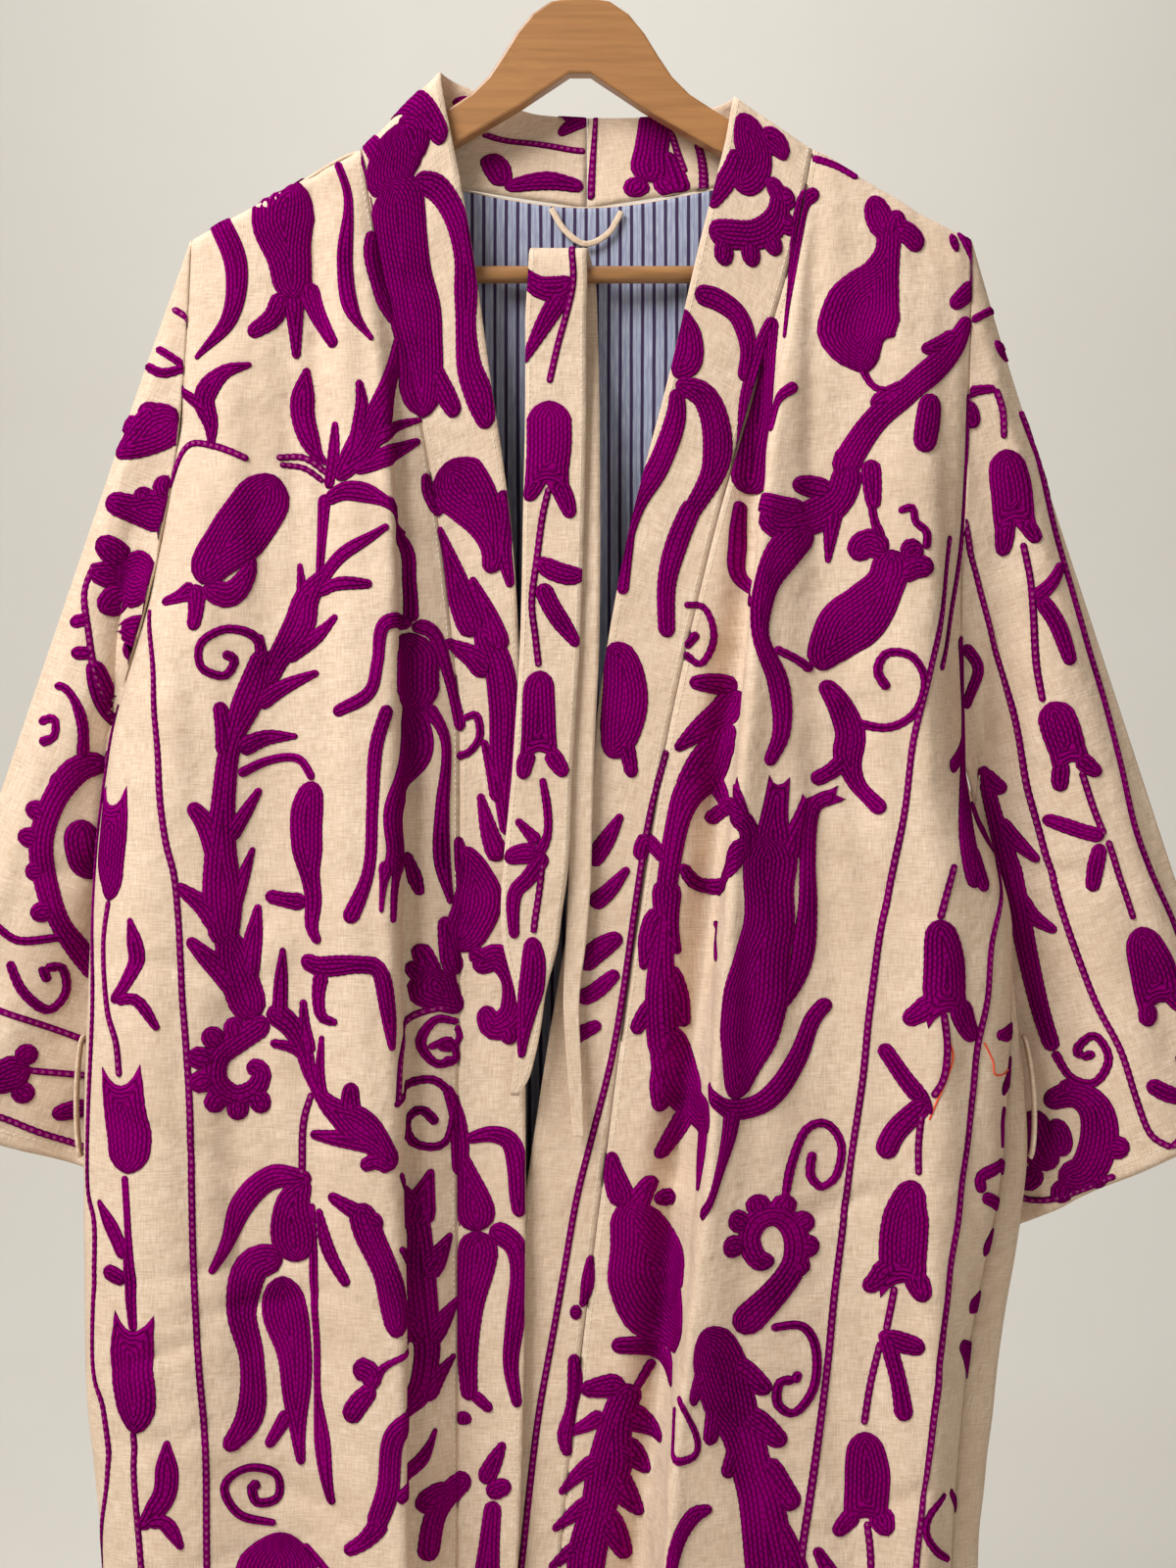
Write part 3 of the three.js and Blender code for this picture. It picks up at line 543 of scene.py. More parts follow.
def add_grid(bm, grid, layer, places, flip=False):
    """Adds one grid of points to a bmesh, with its places on the UV map in metres."""
    rows, columns = grid.shape[:2]
    verts = bmesh.ops.create_grid(bm, x_segments=columns - 1, y_segments=rows - 1, size=1)["verts"]
    for vert, point in zip(verts, grid.reshape(-1, 3) * MM):
        vert.co = point
    index = {vert: k for k, vert in enumerate(verts)}
    faces = list({face for vert in verts for face in vert.link_faces})
    layer, places = bm.loops.layers.uv[layer], places.reshape(-1, 2) * MM
    for face in faces:
        for loop in face.loops:
            loop[layer].uv = places[index[loop.vert]]
    if flip:
        bmesh.ops.reverse_faces(bm, faces=faces)
    return verts, faces


def cloth_object(name, bm, finishes, replaces=(), rounded=True):
    mesh = bpy.data.meshes.new(name)
    bm.to_mesh(mesh)
    bm.free()
    if rounded:
        mesh.shade_smooth()
    for finish in finishes:
        mesh.materials.append(finish)
    obj = bpy.data.objects.new(name, mesh)
    bpy.context.collection.objects.link(obj)
    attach(obj, "root")
    if replaces:
        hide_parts(*replaces)
    print(name, "has", len(mesh.polygons), "faces")
    return obj


def welded(bm):
    bmesh.ops.remove_doubles(bm, verts=bm.verts[:], dist=1e-6)


def sheet(
    name, grid, flat, replaces, finishes=(canvas,), thickness=CANVAS_THICK, flip=False, closed=False
):
    bm = new_bmesh("flat")
    if closed:
        grid = np.concatenate([grid, grid[:, :1]], axis=1)
        flat = np.concatenate([flat, flat[:, -1:] + (flat[:, -1:] - flat[:, -2:-1])], axis=1)
    add_grid(bm, grid, "flat", flat, flip)
    if closed:
        welded(bm)
    obj = cloth_object(name, bm, finishes, replaces)
    solid = obj.modifiers.new("thickness", "SOLIDIFY")
    solid.thickness = thickness * MM
    solid.offset = 0
    solid.use_even_offset = False
    if len(finishes) > 1:
        solid.material_offset = 1
    return obj


# %% [markdown]
# ### Fronts, back and lining
#
# The fronts show canvas outside and stripes inside. Soft creases cross the grain where the jacket was folded: each
# has two ends, x z and x z, a width and a depth. Shallow waves come and go between them, and fade out near the seams
# so that neighbouring sheets still meet. The back's lining is a sheet of its own, just inside the back, because it
# hangs free there; on the fronts it is the sheet's second face.

# %% Fronts, back and lining
RIGHT_CREASES = [
    (-96, -290, -84, -520, 7, -8), (-84, -480, -83, -760, 7, -10), (-83, -720, -80, -1000, 7, -10),
    (-81, -960, -80, -1200, 7, -5), (-258, -700, -170, -745, 6, -2.8), (-225, -815, -140, -800, 5, -2.6),
    (-262, -845, -205, -822, 5, -2.4), (-200, -900, -130, -925, 7, -2.6), (-236, -300, -170, -380, 12, -2.4),
    (-212, -640, -150, -590, 8, 2.0), (-236, -560, -240, -900, 10, 1.8),
    (-149, -165, -143, -500, 6, -2.6), (-130, -190, -131, -640, 8, 1.8), (-196, -560, -186, -900, 14, -1.8),
    (-262, -612, -205, -622, 5, -1.6), (-270, -798, -150, -778, 6, -1.8), (-262, -892, -185, -868, 6, -1.6),
    (-245, -958, -170, -944, 6, -1.4), (-240, -425, -215, -560, 9, 1.2), (-186, -200, -176, -330, 12, -1.4),
    (-206, -1040, -120, -1060, 8, -1.6), (-262, -1120, -180, -1098, 7, -1.4), (-150, -430, -140, -600, 8, 1.2),
]
LEFT_CREASES = [
    (95, -280, 62, -480, 8, -11), (64, -440, 22, -740, 8, -15), (26, -700, -6, -980, 8, -15),
    (-2, -940, -14, -1200, 9, -8), (150, -560, 196, -600, 7, -2.4), (120, -760, 176, -742, 6, -2.4),
    (150, -930, 200, -905, 6, -2.4), (156, -250, 196, -300, 9, -2.2), (132, -480, 178, -440, 8, 2.0),
    (206, -560, 196, -880, 9, 2.2), (60, -860, 120, -880, 7, -2.2),
    (142, -330, 122, -700, 9, -2.2), (196, -180, 186, -330, 9, -1.8), (100, -640, 92, -1000, 9, -2.0),
    (150, -480, 172, -640, 12, -1.4), (170, -820, 215, -850, 6, -1.3), (120, -930, 180, -955, 7, -1.3),
    (129, -180, 132, -420, 7, -2.6), (206, -330, 190, -520, 9, 1.3), (60, -1060, 150, -1085, 8, -1.5),
]
LINING_THICK = 0.8
LINING_BEHIND = 1.9  # from the middle of the back's canvas to the middle of its lining
LINED = np.s_[2:-2:2, 2:-4:2]  # the lining stops short of the seams, and has every second row and column

right_front = Cloth(*panel(RIGHT_FRONT, -1, 62, 4), -1, RIGHT_CREASES, waves=1.1)
left_front = Cloth(*panel(LEFT_FRONT, -1, 66, 5), 1, LEFT_CREASES, waves=1.1)
back = Cloth(*panel(BACK, 1, 110, 6, NECKLINE, step=6), -1, waves=1.0)

front_right = sheet("front_right", right_front.grid, right_front.flat, ["right_front"], [canvas, lining])
front_left = sheet("front_left", left_front.grid, left_front.flat, ["left_front"], [canvas, lining], flip=True)
back_panel = sheet("back_panel", back.grid, back.flat, ["back"])
inner = back.grid - back.out * LINING_BEHIND
lining_back = sheet(
    "lining_back", inner[LINED], back.flat[LINED], ["back_lining"], [lining], LINING_THICK
)


# %% [markdown]
# ### Neck band
#
# The band is folded double and runs from the middle of the back neck, round the shoulder's end and down the front
# edge. Its free edge has a table of its own, and its other edge follows the seams of the back and the front. It could
# be cut out of the fronts, but as a strip between its two edges it turns the corner at the shoulder in one piece.

# %% Neck bands
SEAM_STEP = 0.3  # the band starts this far off the front's edge
SEAM_DROP = 0.4  # and this far below the back's neckline
RIGHT_BAND = (
    [[3.8, 19, -125], [-22, 18.5, -123.5], [-46, 17, -117], [-60, 14.5, -111], [-72, 10.5, -107], [-80.5, 0, -104]],
    [4.5, 9, 26, 80, 155, 235, 315, 425, 570, 700, 820, LENGTH],
    [-80.2, -79, -75, -63, -51, -39, -34, -32, -31, -31.5, -37, -44],
    [-6, -9, -11, -12, -13, -14, -15, -16, -18, -20, -21, -24],
    [-110, -118, -138, -201, -286, -373, -459, -573, -720, -850, -970, NECK_Z - LENGTH],
)
LEFT_BAND = (
    [[4.2, 19, -125], [30, 18.5, -125], [54, 17, -124], [68, 14.5, -122], [80, 10.5, -120.5], [88.5, 0, -119]],
    [4.5, 9, 26, 80, 155, 235, 315, 425, 570, 700, 820, LENGTH],
    [88.2, 87, 84, 70, 50, 28, 13, -2, -27, -44, -58, -74],
    [-6, -8.5, -10, -11, -12, -12, -12, -12, -12, -12, -12, -13],
    [-121, -126, -143, -199, -285, -370, -452, -566, -718, -850, -970, NECK_Z - LENGTH],
)


def resampled(points, at, wanted):
    return np.stack([smooth(at, points[:, axis], wanted) for axis in range(3)], axis=-1)


def band(table, front_line, columns=15):
    """A band's grid and flat coordinates, from its free edge's table and the front's edge line."""
    neck, depths, *free = table
    sign = np.sign(neck[-1][0])
    neckline = NECKLINE if sign > 0 else NECKLINE[::-1]
    top = np.array([on_line(BACK[k], [0], 1, True)[0] for k in neckline[2:]])
    along = arc(top)
    seam = resampled(top, along, sorted([*along, along[1] / 2, (along[1] + along[2]) / 2]))
    seam[0, 0] = neck[0][0]
    seam[:, 2] -= SEAM_DROP
    rows = np.array([4.5, 9, 26, 50, 80, 115, 155, 195, 235, 275, 315, 350, 425, 520, 625, 745, 880, 1000, LENGTH])
    down = on_line(front_line, rows, -1) - [sign * SEAM_STEP, 0, 0]
    corner = [[front_line[1][0] - sign * SEAM_STEP, 0, NECK_Z + SEAM_STEP]]
    seam = np.concatenate([seam, corner, down])
    edge = np.concatenate([neck, np.stack([smooth(depths, values, rows) for values in free], axis=-1)])
    along = arc((seam + edge) / 2)
    wanted = np.linspace(0, along[-1], int(along[-1] / GRID_STEP))
    seam, edge = resampled(seam, along, wanted)[:, None], resampled(edge, along, wanted)[:, None]
    share = np.linspace(0, 1, columns)[None, :, None]
    grid = seam * (1 - share) + edge * share
    wide = np.linalg.norm(edge - seam, axis=-1)
    return grid, np.stack([share[..., 0] * wide, np.broadcast_to(-wanted[:, None], grid.shape[:2])], axis=-1)


band_right = Cloth(*band(RIGHT_BAND, RIGHT_FRONT[0]), 1)
band_left = Cloth(*band(LEFT_BAND, LEFT_FRONT[0]), -1)
band_right_piece = sheet("neck_band_right", band_right.grid, band_right.flat, ["right_band"])
band_left_piece = sheet("neck_band_left", band_left.grid, band_left.flat, ["left_band"])

# %% [markdown]
# ### Sleeves
#
# A sleeve is a wide tube cut straight. Its rings go from the armhole to the cuff. `outer` is a ring's end on the
# sleeve's upper fold and `inner` its end under the arm, and two rows of depths give the front and the back layer
# between them. Both layers are rounded where they meet. The creases are in flat coordinates: across from the upper
# fold, negative on the back layer, and down the sleeve. A sleeve could be extruded from the armhole, but rings let it
# fall and widen as it hangs.

# %% Sleeves
ARMHOLE_GAP = 0.8  # a sleeve starts this far off the side seam
UNDERARM_DROP = 2.5  # and ends this far below the armhole
FOLD_RADIUS = 1.4
SHARES = [0, 0.15, 0.4, 0.6, 0.8, 1]  # of the way from a ring's outer end to its inner one
# How far along the sleeve a ring is, and the depths of its front and of its back layer at SHARES.
SLEEVE_LAYERS = [
    (0.14, [2, -8, -5, 0, 5, 20], [2, 11, 17, 20, 23, 20]),
    (0.42, [6, -8, 2, 18, 28, 38], [6, 20, 30, 37, 42, 38]),
    (1, [12, -4, 0, 11, 27, 46], [12, 28, 38, 46, 52, 46]),
]
RIGHT_SLEEVE = [((-249, -270), (-276, -532)), ((-299, -412), (-243, -618)), ((-399, -702), (-211, -765))]
LEFT_SLEEVE = [((246, -270), (231, -532)), ((293, -412), (219, -630)), ((390, -705), (214, -797))]


def sleeve(rings, front_line, back_line):
    """A sleeve's grid and flat coordinates: the back layer from its lower edge up, then the front one down."""
    rows = np.concatenate([[0, 1.2, 3, 5.5, 9], np.linspace(13, 345, 68), [UNDERARM]])
    sign = np.sign(rings[0][0][0])
    t = np.linspace(0, 1, 122)
    layers = []
    for line, side, depths in ((front_line, -1, 1), (back_line, 1, 2)):
        top = on_line(line, rows, side) + [sign * ARMHOLE_GAP, 0, 0]
        top[0, 1] = top[-1, 1] = 0
        top[-1, 2] = NECK_Z - UNDERARM - UNDERARM_DROP
        places = [top]
        share = rows / UNDERARM
        rounded = side * np.minimum(FOLD_RADIUS, np.sqrt(2 * FOLD_RADIUS * np.minimum(rows, UNDERARM - rows)))
        for (outer, inner), layer in zip(rings, SLEEVE_LAYERS):
            ripple = 4 * layer[0] * np.sin(share * math.pi * 5) * np.sin(math.pi * share)
            x, z = (outer[k] * (1 - share) + inner[k] * share for k in (0, 1))
            places.append(np.stack([x, smooth(SHARES, layer[depths], share) + ripple + rounded, z], axis=-1))
        at = [0, *(layer[0] for layer in SLEEVE_LAYERS)]
        columns = [resampled(np.array([p[k] for p in places]), at, t) for k in range(len(rows))]
        layers.append(np.stack(columns, axis=1))
    front_layer, back_layer = layers
    grid = np.concatenate([back_layer[:, :0:-1], front_layer[:, :-1]], axis=1)
    fold = grid[:, len(rows) - 1][:, [0, 2]]
    down = (fold[-1] - fold[0]) / np.linalg.norm(fold[-1] - fold[0])
    across = np.abs((grid[..., [0, 2]] - fold[:, None]) @ [down[1], -down[0]])
    across[:, : len(rows) - 1] *= -1
    return grid, np.stack([across, (fold[0] - grid[..., [0, 2]]) @ down], axis=-1)


SLEEVE_CREASES = [
    (205, -10, 125, -330, 9, -4.5), (150, -20, 60, -300, 9, -3.2), (232, -60, 192, -390, 10, 3.0),
    (62, -60, 30, -300, 10, 2.2), (25, -380, 125, -335, 6, -2.2), (120, -425, 215, -385, 6, -2.0),
    (95, -210, 195, -165, 7, -2.0), (170, -290, 235, -250, 6, -2.0), (20, -200, 90, -150, 7, -1.6),
    (-180, -20, -110, -330, 9, -3.5), (-70, -60, -40, -380, 10, -2.5), (-212, -120, -150, -400, 10, 2.5),
]
right_tube = sleeve(RIGHT_SLEEVE, RIGHT_FRONT[-1], BACK[0])
left_tube = sleeve(LEFT_SLEEVE, LEFT_FRONT[-1], BACK[-1])
sleeve_right = Cloth(*right_tube, 1, SLEEVE_CREASES, tube=True, waves=0.9)
sleeve_left = Cloth(*left_tube, -1, SLEEVE_CREASES, tube=True, waves=0.9)
sleeve_right_piece, sleeve_left_piece = (
    sheet(f"sleeve_{side}", cloth.grid, cloth.flat, [f"{side}_sleeve"], [canvas, lining], flip=flip, closed=True)
    for side, cloth, flip in (("right", sleeve_right, True), ("left", sleeve_left, False))
)

# %% [markdown]
# ### Belt and loops
#
# The belt is folded over the hanger's bar: its wide front tail hangs before its narrow back one. Two belt loops
# stand on the side seams, and a thin loop under the back neck is there to hang the jacket from a peg. Each is a strip
# along its own path: a bevelled curve would do for the shape, but wouldn't give the weave its flat coordinates.

# %% Belt and loops
LOOP_DOWN, LOOP_LENGTH = 511, 70  # below the shoulder seam
LOOP_WIDE, LOOP_THICK = 8, 1.6
LOOP_CLEAR = 0.6  # between a belt loop's ends and the canvas
LOOP_BOW = 3  # how much further off its middle stands
# The belt's path from the front tail's end to the back one's: x, y, z and its width.
BELT = [
    (-37, -27, -692, 5), (-33, -26.5, -680, 10), (-28, -26, -641, 15), (-28, -25, -600, 33), (-25, -24, -561, 37),
    (-21, -23, -501, 34), (-17, -20, -431, 34), (-15, -15, -355, 35), (-14, -10, -290, 35), (-14, -8, -250, 35),
    (-13, -8, -221, 34), (-13, -6.5, -212, 33), (-12, 0, -206.5, 33), (-10, 6.5, -212, 33), (-8, 8, -221, 34),
    (-7, 6, -245, 34), (-6, -3, -290, 34), (-5, -10.5, -355, 33), (-3, -16, -431, 28), (-1, -19, -501, 18),
    (0, -19.5, -561, 13), (-2, -19.5, -600, 12), (-5, -20, -641, 9), (-3, -20.5, -680, 8), (-1, -21, -716, 6),
]


def strip(table, columns, step=3.0):
    """A strip's grid across x from a table of x, y, z and width, and its flat coordinates."""
    table = np.array(table, float)
    along = arc(table[:, :3])
    wanted = np.unique(np.concatenate([along, np.arange(0, along[-1], step)]))
    middle = resampled(table, along, wanted)
    half = smooth(along, table[:, 3], wanted)[:, None] / 2
    share = np.linspace(-1, 1, columns)[None]
    grid = middle[:, None] + np.stack([share * half, 0 * share * half, 0 * share * half], axis=-1)
    return grid, np.stack([share * half, np.broadcast_to(-wanted[:, None], grid.shape[:2])], axis=-1)


belt = Cloth(*strip(BELT, 11), -1)
belt_piece = sheet("belt_folded", belt.grid, belt.flat, ["belt"])


# %% Loops
def belt_loop(name, line, side, out, node):
    share = np.linspace(0, 1, 25)
    place = on_line(line, LOOP_DOWN + LOOP_LENGTH * share, side)
    stand = CANVAS_THICK / 2 + LOOP_THICK / 2 + LOOP_CLEAR + LOOP_BOW * np.sin(math.pi * share) ** 0.5
    middle = place + np.array([out, 0, 0]) * stand[:, None]
    across = np.linspace(-LOOP_WIDE / 2, LOOP_WIDE / 2, 5)
    grid = middle[:, None] + np.stack([0 * across, across, 0 * across], axis=-1)[None]
    flat = np.stack(np.meshgrid(across, arc(middle)), axis=-1)
    return sheet(name, grid, flat, [node], thickness=LOOP_THICK)


def hanging_loop(points, wide, thick, around=10):
    """A folded tape sewn down at both ends, as a flat tube on a curve."""
    middle = curve(np.array(points, float))
    tangent = np.gradient(middle, axis=0)
    across = np.cross(tangent, [0, 1, 0])
    across /= np.linalg.norm(across, axis=1, keepdims=True)
    turn = np.linspace(0, 2 * math.pi, around + 1)[None, :, None]
    ring = np.sign(np.cos(turn)) * np.abs(np.cos(turn)) ** 0.6
    grid = middle[:, None] + across[:, None] * ring * wide / 2 + np.array([0, thick / 2, 0]) * np.sin(turn)
    flat = np.stack(np.meshgrid(np.linspace(-wide, wide, around + 1), arc(middle)), axis=-1)
    bm = new_bmesh("flat")
    add_grid(bm, grid, "flat", flat)
    welded(bm)
    return cloth_object("neck_loop", bm, [canvas], replaces=["hanging_loop"])


loop_right = belt_loop("side_loop_right", RIGHT_FRONT[-1], -1, -1, "belt_loop_right")
loop_left = belt_loop("side_loop_left", BACK[-2], 1, 1, "belt_loop_left")
LOOP_PATH = [(-17, 9.5, -180), (-9, 9, -193), (3, 8.5, -201), (16, 9, -195), (24, 9.5, -182)]
neck_loop = hanging_loop(LOOP_PATH, wide=3.6, thick=1.6)

# %% [markdown]
# ## Needlework
#
# A pattern is a table of strokes, one a line: a name, the widths along the stroke, and the points it passes through,
# as x and z where they are seen from the front. A line that ends in a comma goes on in the next. A stroke is a raised
# strip of wool on a smooth curve. It is as wide as its widths say, rounded at both ends, and about a millimetre proud
# of the cloth. A name that starts with "tulip" gives the stroke a notched start, and one that starts with "bell" a
# notched end. Strokes up to 4.5 mm wide are worked as a line of open links. The motifs could be colour on the canvas,
# but raised wool catches the light at its edges, which is what such needlework is known by.


# %% Strokes
def strokes_of(table):
    strokes = []
    for line in table.strip().replace(",\n", ",").splitlines():
        name, widths, points = line.split("|")
        widths = numbers(widths)
        points = np.array([numbers(point) for point in points.split(",")])
        notches = 0.5 * widths[0] * name.startswith("tulip"), 0.4 * widths[-1] * name.startswith("bell")
        strokes.append((widths, points, notches))
    return strokes


# %% One stroke as a ribbon
LINK = 4.2  # two rows of a ribbon's grid, about a chain stitch
COLUMN = 4.4  # from column to column inside it, about two rows of stitches
RIM = 1.1  # its outermost column, where the wool rounds over
WAVER = 0.16  # how far the edge swings in and out from row to row
ROUND_HIGH, ROUND_WIDE = 1.25, 1.5  # the rounded edge
DOME_HIGH, DOME_WIDE = 0.25, 8  # and the slight rise inside it
STAND_OFF = 0.9  # from the canvas's middle to the edge of the wool
OVERLAP = 0.015  # between the heights of neighbouring strokes, so that crossing ones don't flicker
LINE_WIDE = 4.5  # up to this width a stroke is an open line
STITCH = 3.5  # a topstitch and the gap after it
THREAD = 0.84  # a topstitch's width


def ribbon(widths, points, notches, phase):
    """A stroke's grid: flat places, heights, and sewn coordinates (from its edge inwards, and along it)."""
    fine = curve(points)
    along = arc(fine)
    total = along[-1]
    widths = np.array(widths if len(widths) > 1 else widths * 2, float)
    fractions = np.linspace(0, total, len(widths))
    caps = [min(w / 2, 0.45 * total) for w in (widths[0], widths[-1])]
    body = np.linspace(caps[0], total - caps[1], max(int((total - sum(caps)) / (LINK / 2)), 1) + 1)
    turns = [cap * (1 - np.cos(np.linspace(0, math.pi / 2, max(4, int(cap / 2.2)))[:-1])) for cap in caps]
    s = np.concatenate([turns[0], body, total - turns[1][::-1]])
    half = smooth(fractions, widths, s) / 2
    for distance, cap, notch in ((s, caps[0], notches[0]), (total - s, caps[1], notches[1])):
        if not notch:
            half = half * np.sqrt(1 - np.clip(1 - distance / max(cap, 0.1), 0, 0.999) ** 2)
    half = half + WAVER * np.sin(np.arange(len(s)) * math.pi + phase) * np.minimum(half, 1)
    middle = np.stack([np.interp(s, along, fine[:, k]) for k in (0, 1)], axis=-1)
    tangent = np.gradient(middle, s, axis=0)
    across = np.stack([-tangent[:, 1], tangent[:, 0]], axis=-1)
    across /= np.maximum(np.linalg.norm(across, axis=-1, keepdims=True), 1e-6)
    widest = half.max()
    edge = min(RIM / widest, 0.5)
    pairs = max(round((widest - RIM) / COLUMN), 1)
    inside = np.linspace(-1 + edge, 1 - edge, 2 * pairs + 1)
    share = np.concatenate([[-1, -1 + 0.3 * edge], inside, [1 - 0.3 * edge, 1]])
    inwards = half[:, None] * (1 - np.abs(share))
    flat = middle[:, None] + across[:, None] * (half[:, None] * share)[..., None]
    tangent /= np.maximum(np.linalg.norm(tangent, axis=-1, keepdims=True), 1e-6)
    for distance, notch, way in ((s, notches[0], -1), (total - s, notches[1], 1)):
        if notch:
            reach = way * notch * np.maximum(1 - distance / (2 * notch), 0)
            flat += tangent[:, None] * (reach[:, None] * share**2)[..., None]
            inwards = np.minimum(inwards, distance[:, None])
    height = ROUND_HIGH * np.sqrt(1 - (1 - np.minimum(inwards / ROUND_WIDE, 1)) ** 2)
    height = height + DOME_HIGH * np.minimum(inwards / DOME_WIDE, 1)
    sewn = np.stack([inwards, np.broadcast_to(s[:, None] + phase * 7, inwards.shape)], axis=-1)
    return flat, height, sewn


# %% Sewing onto a cloth
def embroider(name, cloth, strokes, side=1, finishes=(wool, wool_line)):
    """One piece of needlework on a cloth, from strokes whose points are in the cloth's flat coordinates."""
    made = [ribbon(*stroke, k * 0.7) for k, stroke in enumerate(strokes)]
    flat = np.concatenate([f.reshape(-1, 2) for f, _, _ in made])
    lift = np.concatenate([(h + STAND_OFF + OVERLAP * (k % 7)).reshape(-1) for k, (_, h, _) in enumerate(made)])
    placed, inside = cloth.place(flat, side * lift)
    bm = new_bmesh("sewn")
    start = 0
    for (widths, *_), (grid, _, sewn) in zip(strokes, made):
        count = grid.shape[0] * grid.shape[1]
        points = placed[start : start + count].reshape(*grid.shape[:2], 3)
        verts, faces = add_grid(bm, points, "sewn", sewn)
        outside = {v for v, on in zip(verts, inside[start : start + count]) if not on}
        lost = [f for f in faces if outside.issuperset(f.verts)]
        for face in faces:
            face.material_index = int(max(widths) <= LINE_WIDE and len(finishes) > 1)
        bmesh.ops.delete(bm, geom=lost, context="FACES")
        start += count
    return cloth_object(name, bm, finishes)


def topstitch(name, cloth, lines):
    """Rows of short cotton stitches: each row is a narrow strip that dips under the cloth between two stitches."""
    bm = new_bmesh("flat")
    for line in lines:
        along = arc(line)
        s = np.arange(1, along[-1] - 1, STITCH / 4)
        middle = np.stack([np.interp(s, along, line[:, k]) for k in (0, 1)], axis=-1)
        tangent = np.gradient(middle, axis=0)
        tangent /= np.linalg.norm(tangent, axis=1, keepdims=True)
        across = np.stack([-tangent[:, 1], tangent[:, 0]], axis=-1) * THREAD / 2
        flat = middle[:, None] + across[:, None] * np.array([-1, 0, 1])[None, :, None]
        top = np.array([0.2, 1.3, 1.45, 1.3])[np.arange(len(s)) % 4]
        height = top[:, None] - np.array([0.35, 0, 0.35])
        points, _ = cloth.place(flat.reshape(-1, 2), height.reshape(-1))
        add_grid(bm, points.reshape(*height.shape, 3), "flat", flat)
    return cloth_object(name, bm, [cotton], rounded=False)


def edge_line(cloth, column, inset):
    """The flat line that runs down a cloth this far in from one of its side edges."""
    flat = cloth.flat
    inwards = np.sign(flat[:, -1 if column == 0 else 0, 0] - flat[:, column, 0])
    return flat[:, column] + np.stack([inwards * inset, 0 * inwards], axis=-1)


def seen_on(cloth, strokes, face="outer"):
    """Those of the strokes that are seen on a cloth, in its flat coordinates."""
    found = []
    for widths, points, notches in strokes:
        _, off = cloth.lookup("seen", curve(points), face)
        if off.min() < max(widths) / 2:
            found.append((widths, cloth.from_view(points, face), notches))
    return found


